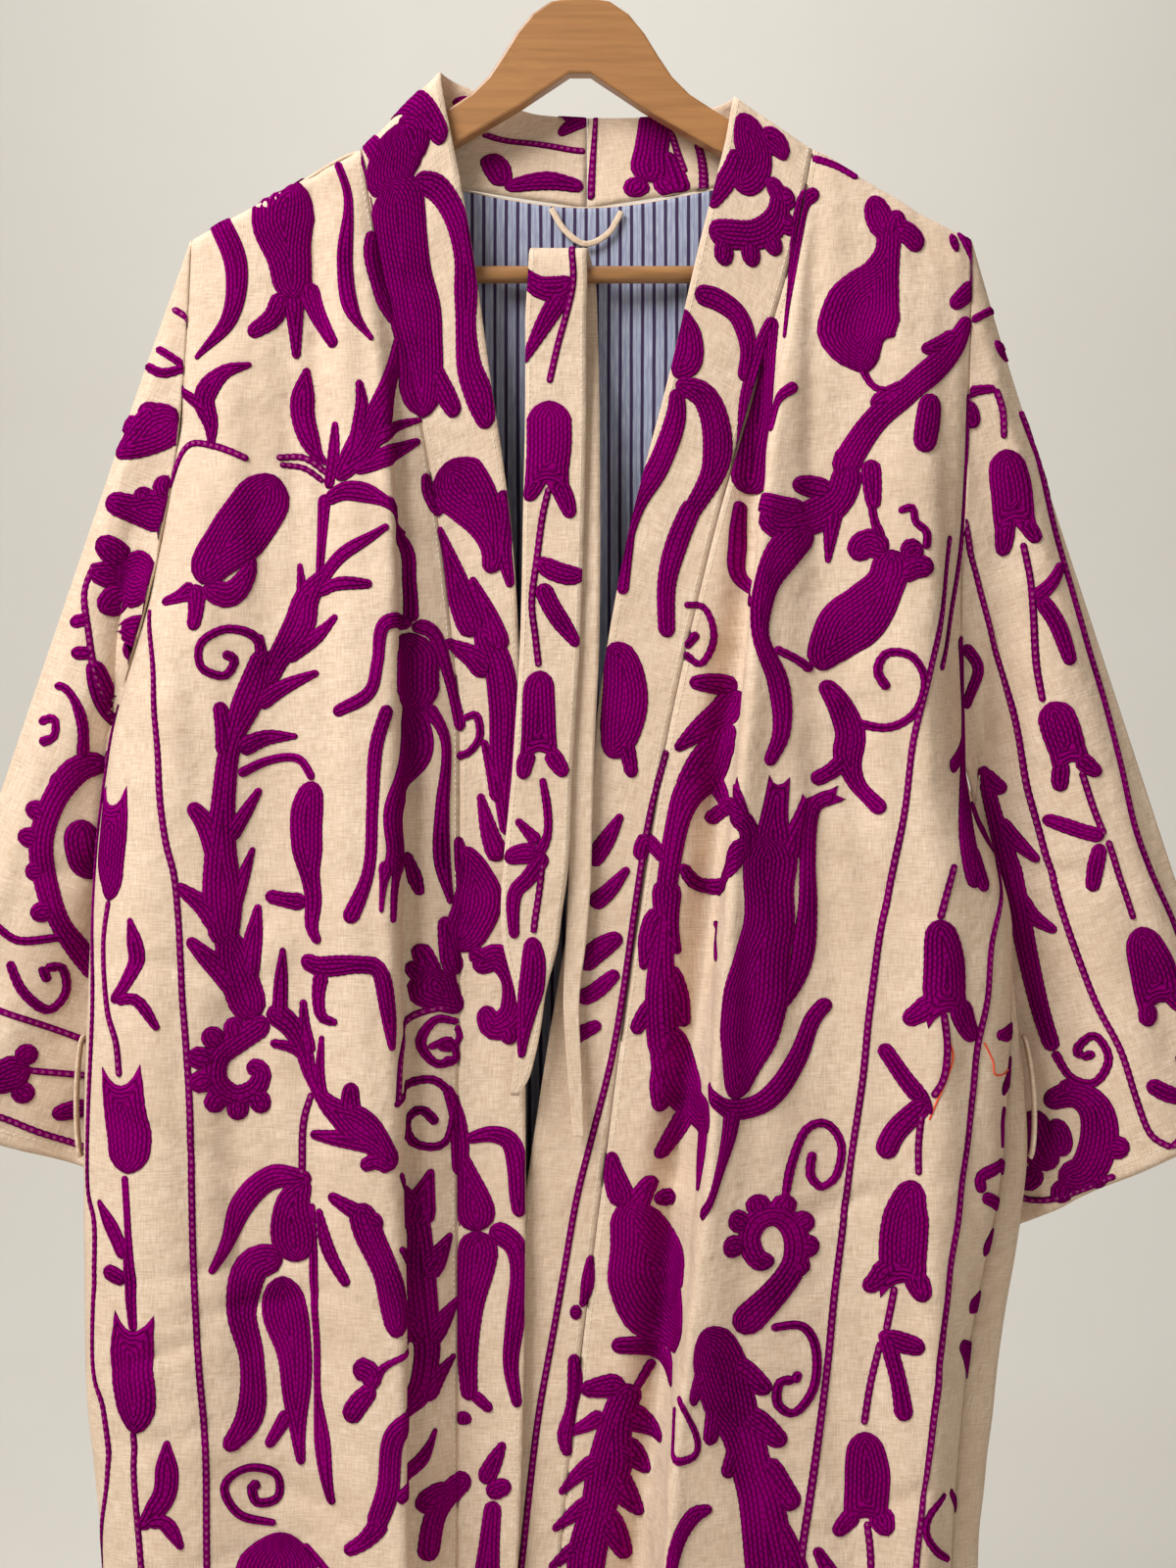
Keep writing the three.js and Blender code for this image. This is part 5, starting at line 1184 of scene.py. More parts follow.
# %% Left front and its band
LEFT_PATTERN = """
band flower upper | 14 26 24 14 | 92 -128, 98 -142, 100 -156, 90 -172
its right curl | 10 16 12 | 104 -140, 114 -146, 119 -155
its lower petal | 12 12 9 | 92 -150, 86 -164, 74 -181
band cloud | 12 16 16 16 14 12 | 74 -196, 88 -198, 102 -198, 113 -190, 115 -176, 108 -166
band cloud lobe a | 13 13 | 82 -216, 84 -200
band cloud lobe b | 13 13 | 99 -217, 98 -200
band cloud lobe c | 13 13 | 115 -210, 108 -197
band cloud lobe d | 13 13 | 125 -193, 113 -190
band cloud lobe e | 12 13 | 124 -176, 114 -178
band hook | 11 13 13 10 8 | 66 -232, 80 -236, 92 -246, 97 -264, 94 -283
band leaf | 4 16 18 8 | 60 -241, 63 -258, 62 -270, 54 -280
band long leaf | 9 17 18 13 10 | 55 -284, 72 -292, 79 -312, 77 -335, 62 -362
band long leaf end | 12 13 11 10 | 66 -352, 56 -376, 50 -400, 50 -431
band slim leaf | 9 13 13 8 5 | 56 -287, 55 -305, 46 -330, 34 -352, 24 -387
band slim leaf end | 6 8 | 29 -369, 24 -406
band seed | 14 24 27 24 12 | 18 -434, 24 -446, 26 -466, 22 -488, 16 -500
band seed tail | 14 10 8 | 24 -486, 28 -500, 30 -512
band leaf a | 4 10 12 | 24 -533, 14 -550, 5 -562
band leaf b | 4 9 11 | 28 -564, 16 -578, 6 -586
band leaf c | 8 13 12 | 24 -603, 10 -612, 0 -622
band leaf d | 7 10 10 | 22 -624, 8 -636, -2 -640
band leaf e | 7 9 10 | 12 -654, 0 -660, -8 -664
band chain | 4 | 50 -496, 40 -535, 32 -585, 25 -635, 18 -675, 8 -715, -2 -755, -9 -795, -16 -835, -24 -880,
  -30 -930, -34 -968, -42 -1040, -50 -1120, -58 -1200, -62 -1262
edge thread | 4 8 4 | 6 -788, 4 -806, 1 -818
edge dot | 9 9 | -6 -822, 1 -820
edge stroke | 6 9 7 9 6 | -4 -845, -3 -862, -6 -880, -9 -892, -7 -904
low band leaf | 3 10 10 | -43 -979, -34 -1000, -30 -1016
low band leaf two | 3 10 10 | -54 -1053, -46 -1076, -42 -1092
low band bud | 6 14 16 10 | -28 -1040, -30 -1056, -34 -1074, -38 -1088
low band bud two | 6 14 16 10 | -44 -1150, -46 -1168, -50 -1186, -54 -1200
recess dark flower | 8 18 24 20 18 | 112 -246, 108 -262, 104 -290, 100 -320, 96 -348
recess curl | 4 4 4 4 5 | 60 -412, 72 -414, 77 -430, 70 -446, 60 -440
recess curl inner | 4.6 6 | 61 -437, 68 -428
dark stem | 6 8 7 6 | 92 -352, 90 -375, 93 -398, 100 -412
dark leaf a | 7 12 14 | 63 -457, 80 -458, 92 -460
dark leaf b | 5 12 16 18 | 55 -496, 72 -482, 84 -474, 94 -462
dark leaf c | 6 16 20 | 57 -517, 76 -498, 90 -488
dark trunk | 17 18 13 12 13 17 17 | 86 -480, 76 -505, 60 -525, 52 -560, 48 -600, 46 -640, 48 -675
dark leaf d | 8 10 12 | 87 -534, 76 -512, 66 -500
dark leaf e | 8 10 14 16 | 72 -537, 88 -528, 96 -540, 96 -560
dark crescent | 16 14 10 6 | 96 -550, 84 -572, 70 -574, 58 -562
dark leaf f | 8 9 10 | 50 -560, 38 -548, 34 -560
dark leaf g | 4 14 18 | 56 -614, 50 -594, 50 -570
dark leaf h | 4 14 16 | 36 -623, 42 -600, 48 -588
dark leaf i | 6 12 14 | 60 -656, 54 -636, 49 -620
dark leaf j | 8 10 12 | 31 -660, 38 -648, 46 -640
dark lower trunk | 15 22 25 22 10 | 48 -655, 54 -680, 62 -692, 70 -704, 76 -712
dark leaf k | 7 14 14 | 45 -705, 48 -682, 50 -670
dark leaf l | 7 10 12 | 44 -732, 58 -712, 66 -700
dark leaf m | 6 12 14 | 69 -751, 72 -722, 72 -706
dark leaf n | 4 6 | 79 -595, 80 -618
lower crown one | 6 14 18 | 18 -728, 20 -742, 26 -760
lower crown two | 8 12 16 | 42 -742, 36 -752, 30 -764
lower crown three | 10 10 | 56 -754, 42 -756
lower body | 22 34 50 46 26 | 28 -756, 32 -772, 42 -798, 54 -818, 60 -832
lower hook | 9 11 11 9 | 18 -840, 34 -840, 50 -846, 54 -864
lower hook stem | 4 4 | 58 -838, 49 -842
lower arch | 4 5 | 30 -868, 42 -848
lower trunk top | 8 13 15 | 0 -866, 14 -864, 26 -862
lower trunk | 15 18 24 20 22 20 | 28 -862, 20 -885, 16 -910, 10 -935, 4 -960, 2 -985
leaf la | 6 12 16 | 48 -896, 34 -884, 24 -876
leaf lb | 6 12 16 | 40 -914, 28 -902, 20 -894
leaf lc | 6 12 16 | 36 -938, 24 -924, 18 -912
leaf ld | 6 12 16 | 27 -963, 18 -946, 12 -934
leaf le | 4 8 12 | -10 -892, 4 -886, 14 -880
leaf lf | 4 9 14 | -12 -926, 0 -914, 12 -906
leaf lg | 4 9 14 | -16 -947, -4 -938, 8 -930
leaf lh | 4 9 14 | -18 -969, -6 -960, 6 -954
leaf li | 5 10 12 | 26 -994, 14 -980, 6 -970
lower trunk tail | 20 17 13 8 | 2 -980, -4 -1010, -8 -1036, -6 -1060
leaf lj | 4 9 12 | -26 -1006, -14 -1000, -4 -996
leaf lk | 4 9 12 | 20 -1024, 8 -1012, 0 -1004
shoulder line | 4 5 4 | 134 -154, 148 -159, 160 -166
shoulder comma | 10 9 8 6 4 3 | 138 -173, 129 -180, 125 -200, 122 -230, 119 -258
little comma | 4 6 8 | 111 -312, 115 -294, 125 -285
pomegranate | 16 16 22 36 46 46 30 8 | 178 -192, 178 -206, 174 -220, 166 -236, 161 -250, 160 -261, 164 -272, 166 -278
its left crown | 11 18 16 | 168 -176, 172 -186, 178 -200
its middle crown | 12 18 | 184 -184, 180 -200
its right crown | 14 14 12 | 197 -207, 190 -198, 180 -194
its stem | 5 4 7 | 163 -276, 170 -286, 182 -290
shoulder dot | 11 11 | 214 -204, 218 -202
vine top | 5 8 7 9 | 218 -197, 228 -212, 228 -224, 222 -236
vine leaf a | 8 11 12 | 214 -240, 221 -234, 228 -227
vine | 8 14 16 16 15 16 18 | 224 -246, 216 -262, 206 -274, 190 -288, 172 -304, 160 -320, 150 -338
vine leaf b | 6 11 12 | 197 -265, 208 -262, 218 -256
vine leaf c | 9 13 12 | 168 -297, 179 -292, 190 -286
vine leaf d | 13 16 14 | 198 -324, 201 -306, 203 -290
vine turn | 18 18 20 17 15 | 156 -330, 150 -350, 132 -362, 114 -366, 106 -358
vine leaf e | 8 13 12 | 122 -342, 135 -344, 146 -347
vine leaf f | 8 11 12 | 170 -357, 169 -343, 168 -328
vine leaf g | 3 8 12 | 143 -388, 145 -371, 147 -356
vine leaf h | 6 12 14 | 147 -327, 157 -323, 166 -317
vine leaf i | 7 13 14 | 104 -354, 117 -356, 130 -358
vine down | 17 22 17 13 13 10 8 | 132 -366, 114 -385, 106 -405, 104 -430, 113 -455, 116 -485, 108 -505
small link | 5 5 6 | 112 -437, 124 -443, 134 -450
second stem | 5 5 8 | 168 -348, 170 -362, 174 -374
second fruit | 24 22 29 34 26 12 | 181 -380, 178 -397, 166 -414, 152 -427, 142 -440, 139 -450
its crown a | 14 16 16 | 158 -386, 166 -376, 178 -382
its crown b | 14 16 | 198 -378, 186 -384
its crown c | 12 14 14 | 204 -391, 194 -390, 184 -396
its twist | 4 5 5 5 5 | 184 -358, 192 -356, 194 -364, 200 -370, 200 -380
lower vine | 8 14 17 18 12 9 10 | 140 -456, 150 -470, 156 -486, 155 -500, 160 -515, 170 -526, 176 -532
lower vine left | 10 10 9 9 | 154 -498, 148 -506, 140 -511, 133 -514
big curl | 6 5 5 5 5 5 5 6 | 158 -480, 178 -483, 194 -474, 199 -456, 192 -442, 178 -440, 172 -450, 178 -461
tulip tooth a | 9 12 16 | 91 -517, 95 -540, 98 -560
tulip tooth b | 11 16 26 | 114 -516, 111 -536, 110 -556
tulip tooth c | 5 9 14 | 130 -524, 124 -544, 120 -560
great tulip | 36 32 28 30 36 42 40 28 14 | 108 -545, 107 -570, 108 -595, 103 -615, 98 -635, 94 -655, 92 -672,
  90 -688, 88 -698
tulip side | 9 9 9 10 12 10 5 | 148 -522, 134 -530, 131 -560, 131 -590, 127 -620, 118 -640, 107 -650
its calyx | 8 10 12 12 11 9 9 | 76 -690, 84 -703, 100 -702, 114 -692, 126 -672, 134 -652, 144 -640
its stem b | 14 12 9 7 8 | 88 -700, 85 -720, 80 -740, 75 -758, 71 -766
small curl | 4 5 5 5 5 5 4 | 118 -756, 122 -735, 130 -716, 142 -712, 151 -724, 148 -742, 138 -750
small curl inner | 4.6 5 5 | 140 -750, 133 -742, 134 -728
cloud b | 10 12 13 13 13 14 16 20 | 112 -792, 102 -790, 97 -778, 103 -767, 115 -765, 124 -775, 124 -792, 112 -810,
  90 -832
cloud b lobe a | 13 13 | 82 -784, 95 -782
cloud b lobe b | 13 13 | 86 -765, 97 -772
cloud b lobe c | 13 13 | 100 -753, 105 -765
cloud b lobe d | 13 13 | 120 -753, 115 -765
cloud b lobe e | 13 13 | 134 -765, 123 -772
cloud b lobe f | 13 13 | 138 -784, 125 -782
cloud b lobe g | 13 13 | 130 -799, 121 -790
cloud b inner | 9 12 | 108 -796, 100 -788
third curl | 5 5 5 5 5 5 5 6 | 110 -830, 128 -829, 136 -842, 135 -864, 124 -879, 114 -874, 115 -862, 124 -860
third curl inner | 5 5 | 124 -862, 126 -855
leafy trunk | 30 34 30 22 20 22 24 26 | 70 -832, 78 -850, 84 -870, 92 -890, 98 -910, 104 -930, 108 -955, 112 -980
trunk leaf a | 10 12 14 | 64 -875, 70 -858, 76 -846
trunk leaf b | 10 12 14 | 74 -898, 78 -878, 84 -864
trunk leaf c | 9 12 14 | 109 -868, 96 -856, 86 -850
trunk leaf d | 9 13 15 | 118 -898, 104 -886, 94 -878
trunk leaf e | 9 11 12 | 84 -917, 90 -900, 94 -890
trunk leaf f | 12 14 16 | 124 -935, 112 -918, 104 -906
trunk leaf g | 6 9 10 | 96 -951, 100 -934, 102 -924
trunk leaf h | 8 12 14 | 129 -974, 118 -954, 110 -942
loop thread | 4 5 5 5 4 4 | 58 -870, 66 -890, 66 -904, 56 -907, 55 -898, 56 -876
crescent b | 5 12 14 10 8 | 76 -934, 64 -940, 56 -954, 53 -972, 56 -990
inner chain | 4 | 213 -372, 208 -420, 202 -450, 193 -490, 188 -530, 181 -565, 173 -605, 167 -650, 163 -690,
  157 -730, 152 -770, 147 -810, 143 -850, 138 -890, 131 -940, 127 -970, 122 -1040, 118 -1130, 114 -1256
side chain | 4 | 224 -290, 222 -340, 219 -380, 213 -420, 208 -450
outer chain b | 4 | 240 -560, 239 -600, 235 -640, 229 -670, 226 -700, 221 -740, 216 -780, 211 -820, 206 -870,
  201 -910, 196 -950, 194 -975, 190 -1050, 186 -1140, 182 -1256
bell | 12 20 23 24 22 | 207 -594, 209 -606, 211 -620, 211 -636, 212 -648
its leg a | 14 12 9 | 205 -640, 196 -648, 187 -653
its leg b | 16 14 9 | 218 -640, 222 -654, 228 -664
stem f | 4 | 210 -648, 212 -668, 210 -686, 204 -697
stem f up | 4 | 216 -562, 212 -578, 208 -594
knot | 14 16 | 199 -700, 203 -699
leaf r | 9 10 11 | 174 -666, 188 -686, 198 -698
leaf s | 13 13 11 | 175 -732, 183 -716, 201 -699
stem g | 4 | 198 -704, 196 -724, 196 -742
bell two | 12 20 26 27 26 25 | 194 -745, 190 -758, 188 -772, 187 -786, 187 -797, 187 -804
its leg c | 16 12 8 | 180 -792, 172 -802, 164 -808
its leg d | 16 14 9 | 192 -796, 196 -806, 200 -815
stem h | 4 | 182 -806, 179 -822, 177 -832
leaf t | 10 12 10 | 176 -834, 188 -839, 200 -842
leaf u | 9 9 11 | 176 -831, 184 -860, 188 -884
stem i | 4 | 174 -838, 168 -862, 164 -886
bell three | 14 22 25 24 25 | 164 -890, 165 -902, 166 -916, 165 -930, 165 -940
its leg e | 12 11 8 | 160 -936, 152 -944, 147 -950
its leg f | 16 14 9 | 172 -934, 176 -944, 179 -950
stem j | 4 | 166 -942, 168 -960, 168 -990, 165 -1030
low leaf a | 5 9 10 | 136 -957, 146 -974, 156 -986
low leaf b | 10 10 9 | 184 -992, 176 -1000, 167 -1010
bell four | 14 22 25 24 25 | 162 -1034, 162 -1046, 162 -1060, 160 -1074, 160 -1084
its leg g | 12 11 8 | 154 -1080, 147 -1088, 142 -1094
its leg h | 16 14 9 | 166 -1078, 170 -1088, 174 -1094
stem k | 4 | 160 -1086, 160 -1120, 158 -1150
low leaf c | 5 9 10 | 137 -1101, 147 -1118, 156 -1130
low leaf d | 10 10 9 | 178 -1118, 170 -1128, 160 -1138
bell five | 14 22 25 24 25 | 156 -1154, 156 -1166, 156 -1180, 154 -1194, 154 -1204
its leg i | 12 11 8 | 148 -1200, 141 -1208, 136 -1214
its leg j | 16 14 9 | 160 -1198, 164 -1208, 168 -1214
stem l | 4 | 154 -1206, 153 -1230, 152 -1256
side plant | 8 10 8 10 14 14 10 | 219 -430, 221 -455, 221 -480, 220 -505, 222 -535, 225 -560, 228 -576
side leaf a | 9 10 9 | 213 -507, 219 -497, 223 -486
side leaf b | 8 10 10 | 242 -553, 230 -540, 225 -526
side leaf c | 9 10 10 | 234 -578, 230 -566, 226 -552
side leaf d | 5 10 10 | 240 -661, 249 -658, 254 -652
side leaf e | 7 11 8 | 243 -694, 247 -684, 249 -672
side leaf f | 4 6 6 | 243 -726, 243 -712, 244 -702
side ring | 7 8 8 8 8 8 7 | 232 -752, 232 -742, 242 -736, 250 -740, 249 -752, 240 -758, 232 -754
side leaf g | 11 14 10 | 232 -785, 239 -776, 246 -768
side leaf h | 8 13 8 | 224 -818, 232 -812, 240 -802
side leaf i | 6 14 22 20 14 | 219 -839, 228 -848, 230 -856, 228 -864, 224 -876
side leaf j | 14 18 16 12 | 222 -888, 226 -902, 228 -918, 228 -935
side leaf k | 4 6 8 12 10 | 213 -924, 222 -938, 224 -952, 222 -966, 218 -976
side ring two | 4 5 5 5 4 | 210 -926, 202 -938, 200 -950, 206 -960, 212 -964
side leaf l | 8 14 14 8 | 218 -1000, 214 -1016, 212 -1034, 214 -1050
side leaf m | 8 14 14 8 | 210 -1080, 206 -1098, 204 -1114, 206 -1130
side leaf n | 8 14 14 8 | 204 -1160, 200 -1178, 198 -1194, 200 -1212
low fruit stem | 5 6 | 66 -980, 60 -996
low fruit | 14 38 48 44 30 22 | 60 -992, 62 -1008, 66 -1026, 68 -1046, 68 -1062, 68 -1074
low fruit crown | 12 9 6 | 62 -1070, 52 -1080, 44 -1084
low fruit crown b | 12 9 6 | 68 -1072, 68 -1086, 68 -1096
low fruit crown c | 12 9 6 | 74 -1070, 84 -1080, 92 -1086
low curl | 5 5 5 5 5 6 | 96 -1000, 108 -1006, 110 -1022, 98 -1030, 90 -1020, 97 -1014
low trunk | 6 12 17 18 17 10 6 | 20 -1100, 30 -1116, 38 -1140, 44 -1165, 52 -1190, 62 -1214, 74 -1230
low trunk leaf a | 4 9 12 | 10 -1127, 22 -1136, 34 -1144
low trunk leaf b | 4 9 12 | 55 -1116, 46 -1136, 42 -1152
low trunk leaf c | 4 9 12 | 18 -1164, 32 -1176, 44 -1184
low trunk leaf d | 4 9 12 | 71 -1154, 60 -1174, 52 -1190
low trunk leaf e | 4 9 12 | 32 -1213, 46 -1216, 56 -1220
low scroll | 14 20 20 16 10 | 84 -1140, 98 -1148, 98 -1166, 86 -1174, 78 -1164
low flower | 12 18 20 16 | 0 -1180, 4 -1198, 6 -1216, 4 -1234
low flower arm | 4 8 10 | -20 -1200, -10 -1204, 2 -1208
low flower arm two | 4 8 10 | 26 -1226, 16 -1226, 6 -1222
"""

# %% [markdown]
# ### Belt, sleeves, neck and back
#
# The neck's strokes are on both layers of the folded band. The back has the outer motifs of both fronts at its sides,
# and a row of its own down the middle, in flat coordinates.

# %% The other patterns
BELT_PATTERN = """
chain | 4 | -5 -203, -4 -222, -7 -240, -13 -262, -18 -284
top leaf | 8 12 15 12 | -36 -219, -24 -228, -12 -229, -4 -224
thorn leaf | 14 10 4 | -10 -232, -20 -248, -33 -272
bell | 22 26 26 25 26 | -18 -294, -18 -306, -18 -320, -19 -334, -19 -342
tulip leg | 12 11 7 | -24 -338, -28 -346, -31 -352
tulip leg two | 12 11 7 | -14 -340, -9 -350, -5 -362
stem | 4 | -18 -344, -22 -362, -25 -385, -28 -410, -26 -430, -24 -448
leaf | 6 12 12 7 | -26 -386, -16 -392, -6 -395, 3 -395
leaf two | 11 11 6 | -23 -400, -15 -416, -1 -436
bell two | 14 18 19 20 24 | -23 -450, -24 -462, -24 -476, -24 -488, -24 -497
second leg | 11 10 7 | -29 -496, -32 -504, -33 -513
second leg two | 11 10 7 | -18 -496, -13 -504, -8 -511
stem two | 4 5 5 8 | -22 -512, -19 -530, -19 -545, -24 -556
leaf three | 9 12 13 | -44 -559, -34 -556, -24 -556
leaf four | 6 8 10 10 | -38 -605, -38 -580, -30 -570, -20 -556
leaf five | 4 9 | -37 -536, -24 -550
chain two | 4 | -22 -560, -24 -580, -27 -602
bud | 8 14 15 12 8 4 | -28 -604, -27 -618, -28 -632, -31 -648, -33 -662, -34 -674
"""
RIGHT_SLEEVE_PATTERN = """
top dash | 4 | -235 -241, -224 -248
second dash | 4.8 | -244 -264, -227 -275
third dash | 5 6 5 | -250 -274, -242 -278, -228 -275
lobed leaf | 8 20 27 26 | -267 -327, -255 -317, -243 -309, -230 -303
its bump | 12 16 | -251 -295, -246 -306
its bump left | 10 16 | -263 -305, -254 -314
second leaf | 13 16 23 24 | -273 -352, -260 -356, -247 -358, -236 -361
its bump two | 11 14 | -255 -344, -250 -354
its bump three | 13 16 | -241 -337, -239 -350
third leaf | 26 34 30 | -270 -396, -258 -397, -246 -399
its bump four | 12 20 | -278 -374, -262 -388
its bump five | 12 18 | -283 -393, -266 -396
its bump six | 13 20 | -278 -416, -262 -404
fourth leaf | 12 18 18 | -267 -426, -258 -427, -249 -426
its low bump | 13 16 | -261 -444, -253 -432
edge chain | 4 | -280 -388, -286 -405, -284 -430, -280 -455, -272 -478, -264 -492
edge bump a | 8 8 | -294 -423, -284 -420
edge bump b | 8 8 | -294 -440, -282 -440
edge leaf | 8 12 14 12 | -282 -444, -276 -464, -268 -476, -262 -480
curl stem | 8 6 6 5 5 | -288 -500, -288 -482, -292 -468, -298 -460, -303 -459
small curl | 7 5 5 6 | -312 -492, -304 -488, -304 -478, -312 -480
scroll | 13 16 14 14 14 13 11 13 8 | -274 -502, -292 -508, -306 -528, -312 -552, -308 -578, -300 -598, -290 -612,
  -284 -622, -282 -628
scroll bump a | 12 12 | -304 -509, -298 -518
scroll bump b | 12 12 | -320 -528, -308 -534
scroll bump c | 12 12 | -325 -545, -312 -548
scroll bump d | 12 12 | -321 -566, -309 -566
scroll bump e | 12 12 | -318 -591, -304 -588
side bud | 12 18 18 12 | -288 -536, -289 -548, -286 -560, -280 -570
thread | 4.8 5 5 | -340 -596, -325 -606, -300 -604
hook curl | 6 6 6 5 5 6 | -330 -618, -322 -636, -308 -646, -298 -636, -300 -622, -310 -622
hook curl inner | 5 6 | -312 -621, -308 -630
chain a | 4 | -348 -642, -320 -652, -286 -664
chain b | 4 | -330 -680, -310 -682, -286 -684
cuff flower | 11 18 21 14 | -346 -690, -336 -686, -326 -682, -318 -680
cuff flower bump | 13 13 | -315 -668, -326 -676
cuff flower bump two | 13 13 | -317 -698, -328 -690
cuff flower bump three | 12 12 | -359 -674, -348 -682
cuff leaf | 8 11 11 | -306 -707, -294 -704, -284 -702
cuff chain | 4 | -352 -706, -336 -708, -310 -718, -286 -726, -262 -738, -236 -748
cuff chain two | 4 | -384 -694, -366 -702, -352 -706
edge bud | 10 20 22 14 | -352 -606, -350 -620, -352 -636, -356 -650
low lobe | 10 18 22 18 | -262 -640, -256 -655, -250 -672, -244 -690
"""
LEFT_SLEEVE_PATTERN = """
dot | 14 15 | 241 -267, 245 -264
dash | 4.8 | 226 -248, 238 -242
hook | 8 6 5 | 222 -290, 230 -288, 240 -287
hook chain | 4 | 240 -287, 244 -300, 245 -316
hook leaf | 8 11 9 | 224 -294, 226 -303, 228 -310
bell | 14 22 24 24 24 | 246 -322, 247 -334, 249 -346, 250 -358, 251 -364
tulip leg | 13 12 8 | 246 -362, 245 -374, 244 -384
tulip leg two | 12 10 7 | 256 -362, 261 -370, 265 -376
stem | 4 | 256 -376, 260 -395, 262 -415, 264 -445, 268 -468
leaf | 6 8 10 | 278 -388, 272 -400, 262 -409
leaf two | 10 10 8 | 266 -408, 276 -424, 284 -447
bell second | 14 20 21 20 22 | 272 -468, 276 -478, 280 -490, 283 -500, 284 -503
second leg | 10 10 8 | 279 -502, 278 -512, 278 -520
second leg two | 12 10 7 | 288 -500, 295 -506, 301 -510
stem two | 4 | 290 -508, 297 -530, 303 -545
leaf three | 7 9 9 | 268 -535, 288 -542, 303 -546
leaf four | 8 10 8 | 301 -550, 298 -564, 296 -578
stem three | 4 | 305 -548, 312 -570, 320 -594
bell third | 14 22 26 28 26 | 324 -598, 326 -610, 330 -622, 333 -634, 335 -642
third leg | 12 12 8 | 328 -642, 328 -650, 329 -656
third leg two | 12 10 7 | 340 -636, 348 -644, 354 -650
chain one | 4 | 222 -362, 230 -400, 238 -432, 250 -470, 258 -512, 268 -550, 278 -585, 290 -620, 300 -645, 313 -670,
  322 -698, 330 -718, 342 -726
chain two | 4 | 256 -300, 266 -335, 274 -370, 284 -405, 294 -440, 303 -470, 312 -505, 320 -540, 330 -568, 344 -600,
  356 -640, 368 -680
outer tail | 4 | 342 -726, 352 -712, 350 -690, 345 -672
cuff leaf | 9 10 8 | 328 -688, 338 -694, 350 -698
vine | 8 10 13 12 11 10 | 232 -505, 243 -545, 252 -580, 258 -610, 266 -645, 274 -670
vine top leaf | 8 10 9 | 247 -519, 240 -516, 232 -508
vine leaf | 5 9 10 | 266 -560, 252 -548, 242 -536
vine leaf two | 5 9 10 | 276 -601, 262 -592, 254 -580
vine curl | 6 5 5 5 5 5 6 | 274 -670, 284 -685, 298 -688, 306 -674, 298 -661, 288 -668, 290 -674
vine curl inner | 5 6 | 290 -674, 298 -671
arc chain | 7 7 7 | 222 -435, 230 -450, 222 -472
cuff flower | 11 16 19 21 21 18 | 268 -700, 286 -695, 298 -704, 300 -722, 292 -740, 276 -744
cuff flower left | 14 18 20 16 | 262 -704, 264 -718, 268 -730, 274 -738
cuff lobe a | 12 12 | 281 -686, 284 -698
cuff lobe b | 13 12 | 305 -699, 296 -708
cuff lobe c | 15 13 | 318 -727, 302 -724
cuff lobe d | 13 13 | 302 -749, 294 -736
cuff lobe e | 13 13 | 277 -758, 280 -744
cuff lobe f | 13 13 | 255 -749, 266 -738
cuff seed | 8 14 14 8 | 270 -712, 276 -716, 278 -724, 274 -730
low chain | 4 | 246 -750, 262 -756, 285 -752, 310 -742
"""
NECK_PATTERN = """
chain left | 4 | -56 -140, -42 -144, -24 -146, -6 -149, 3 -150
leaf | 8 12 9 | -54 -152, -48 -160, -44 -170
long leaf | 8 11 12 10 8 | -44 -171, -30 -168, -18 -167, -6 -169, 2 -171
top leaf | 6 12 8 | -13 -122, -4 -128, 4 -124
top leaf two | 6 10 8 | -13 -140, -4 -134, 4 -132
chain middle | 4 | 9 -127, 8 -145, 7 -160, 6 -178
trunk | 20 18 18 22 | 44 -126, 42 -140, 40 -155, 40 -168
trunk foot | 14 11 | 36 -166, 28 -176
trunk foot two | 14 11 | 46 -164, 56 -177
trunk side | 10 10 | 50 -150, 58 -174
chain right | 4 | 52 -138, 56 -150, 60 -162
chain far | 4 | 68 -146, 71 -160, 71 -176
far spur | 6 10 | -64 -132, -70 -118
"""
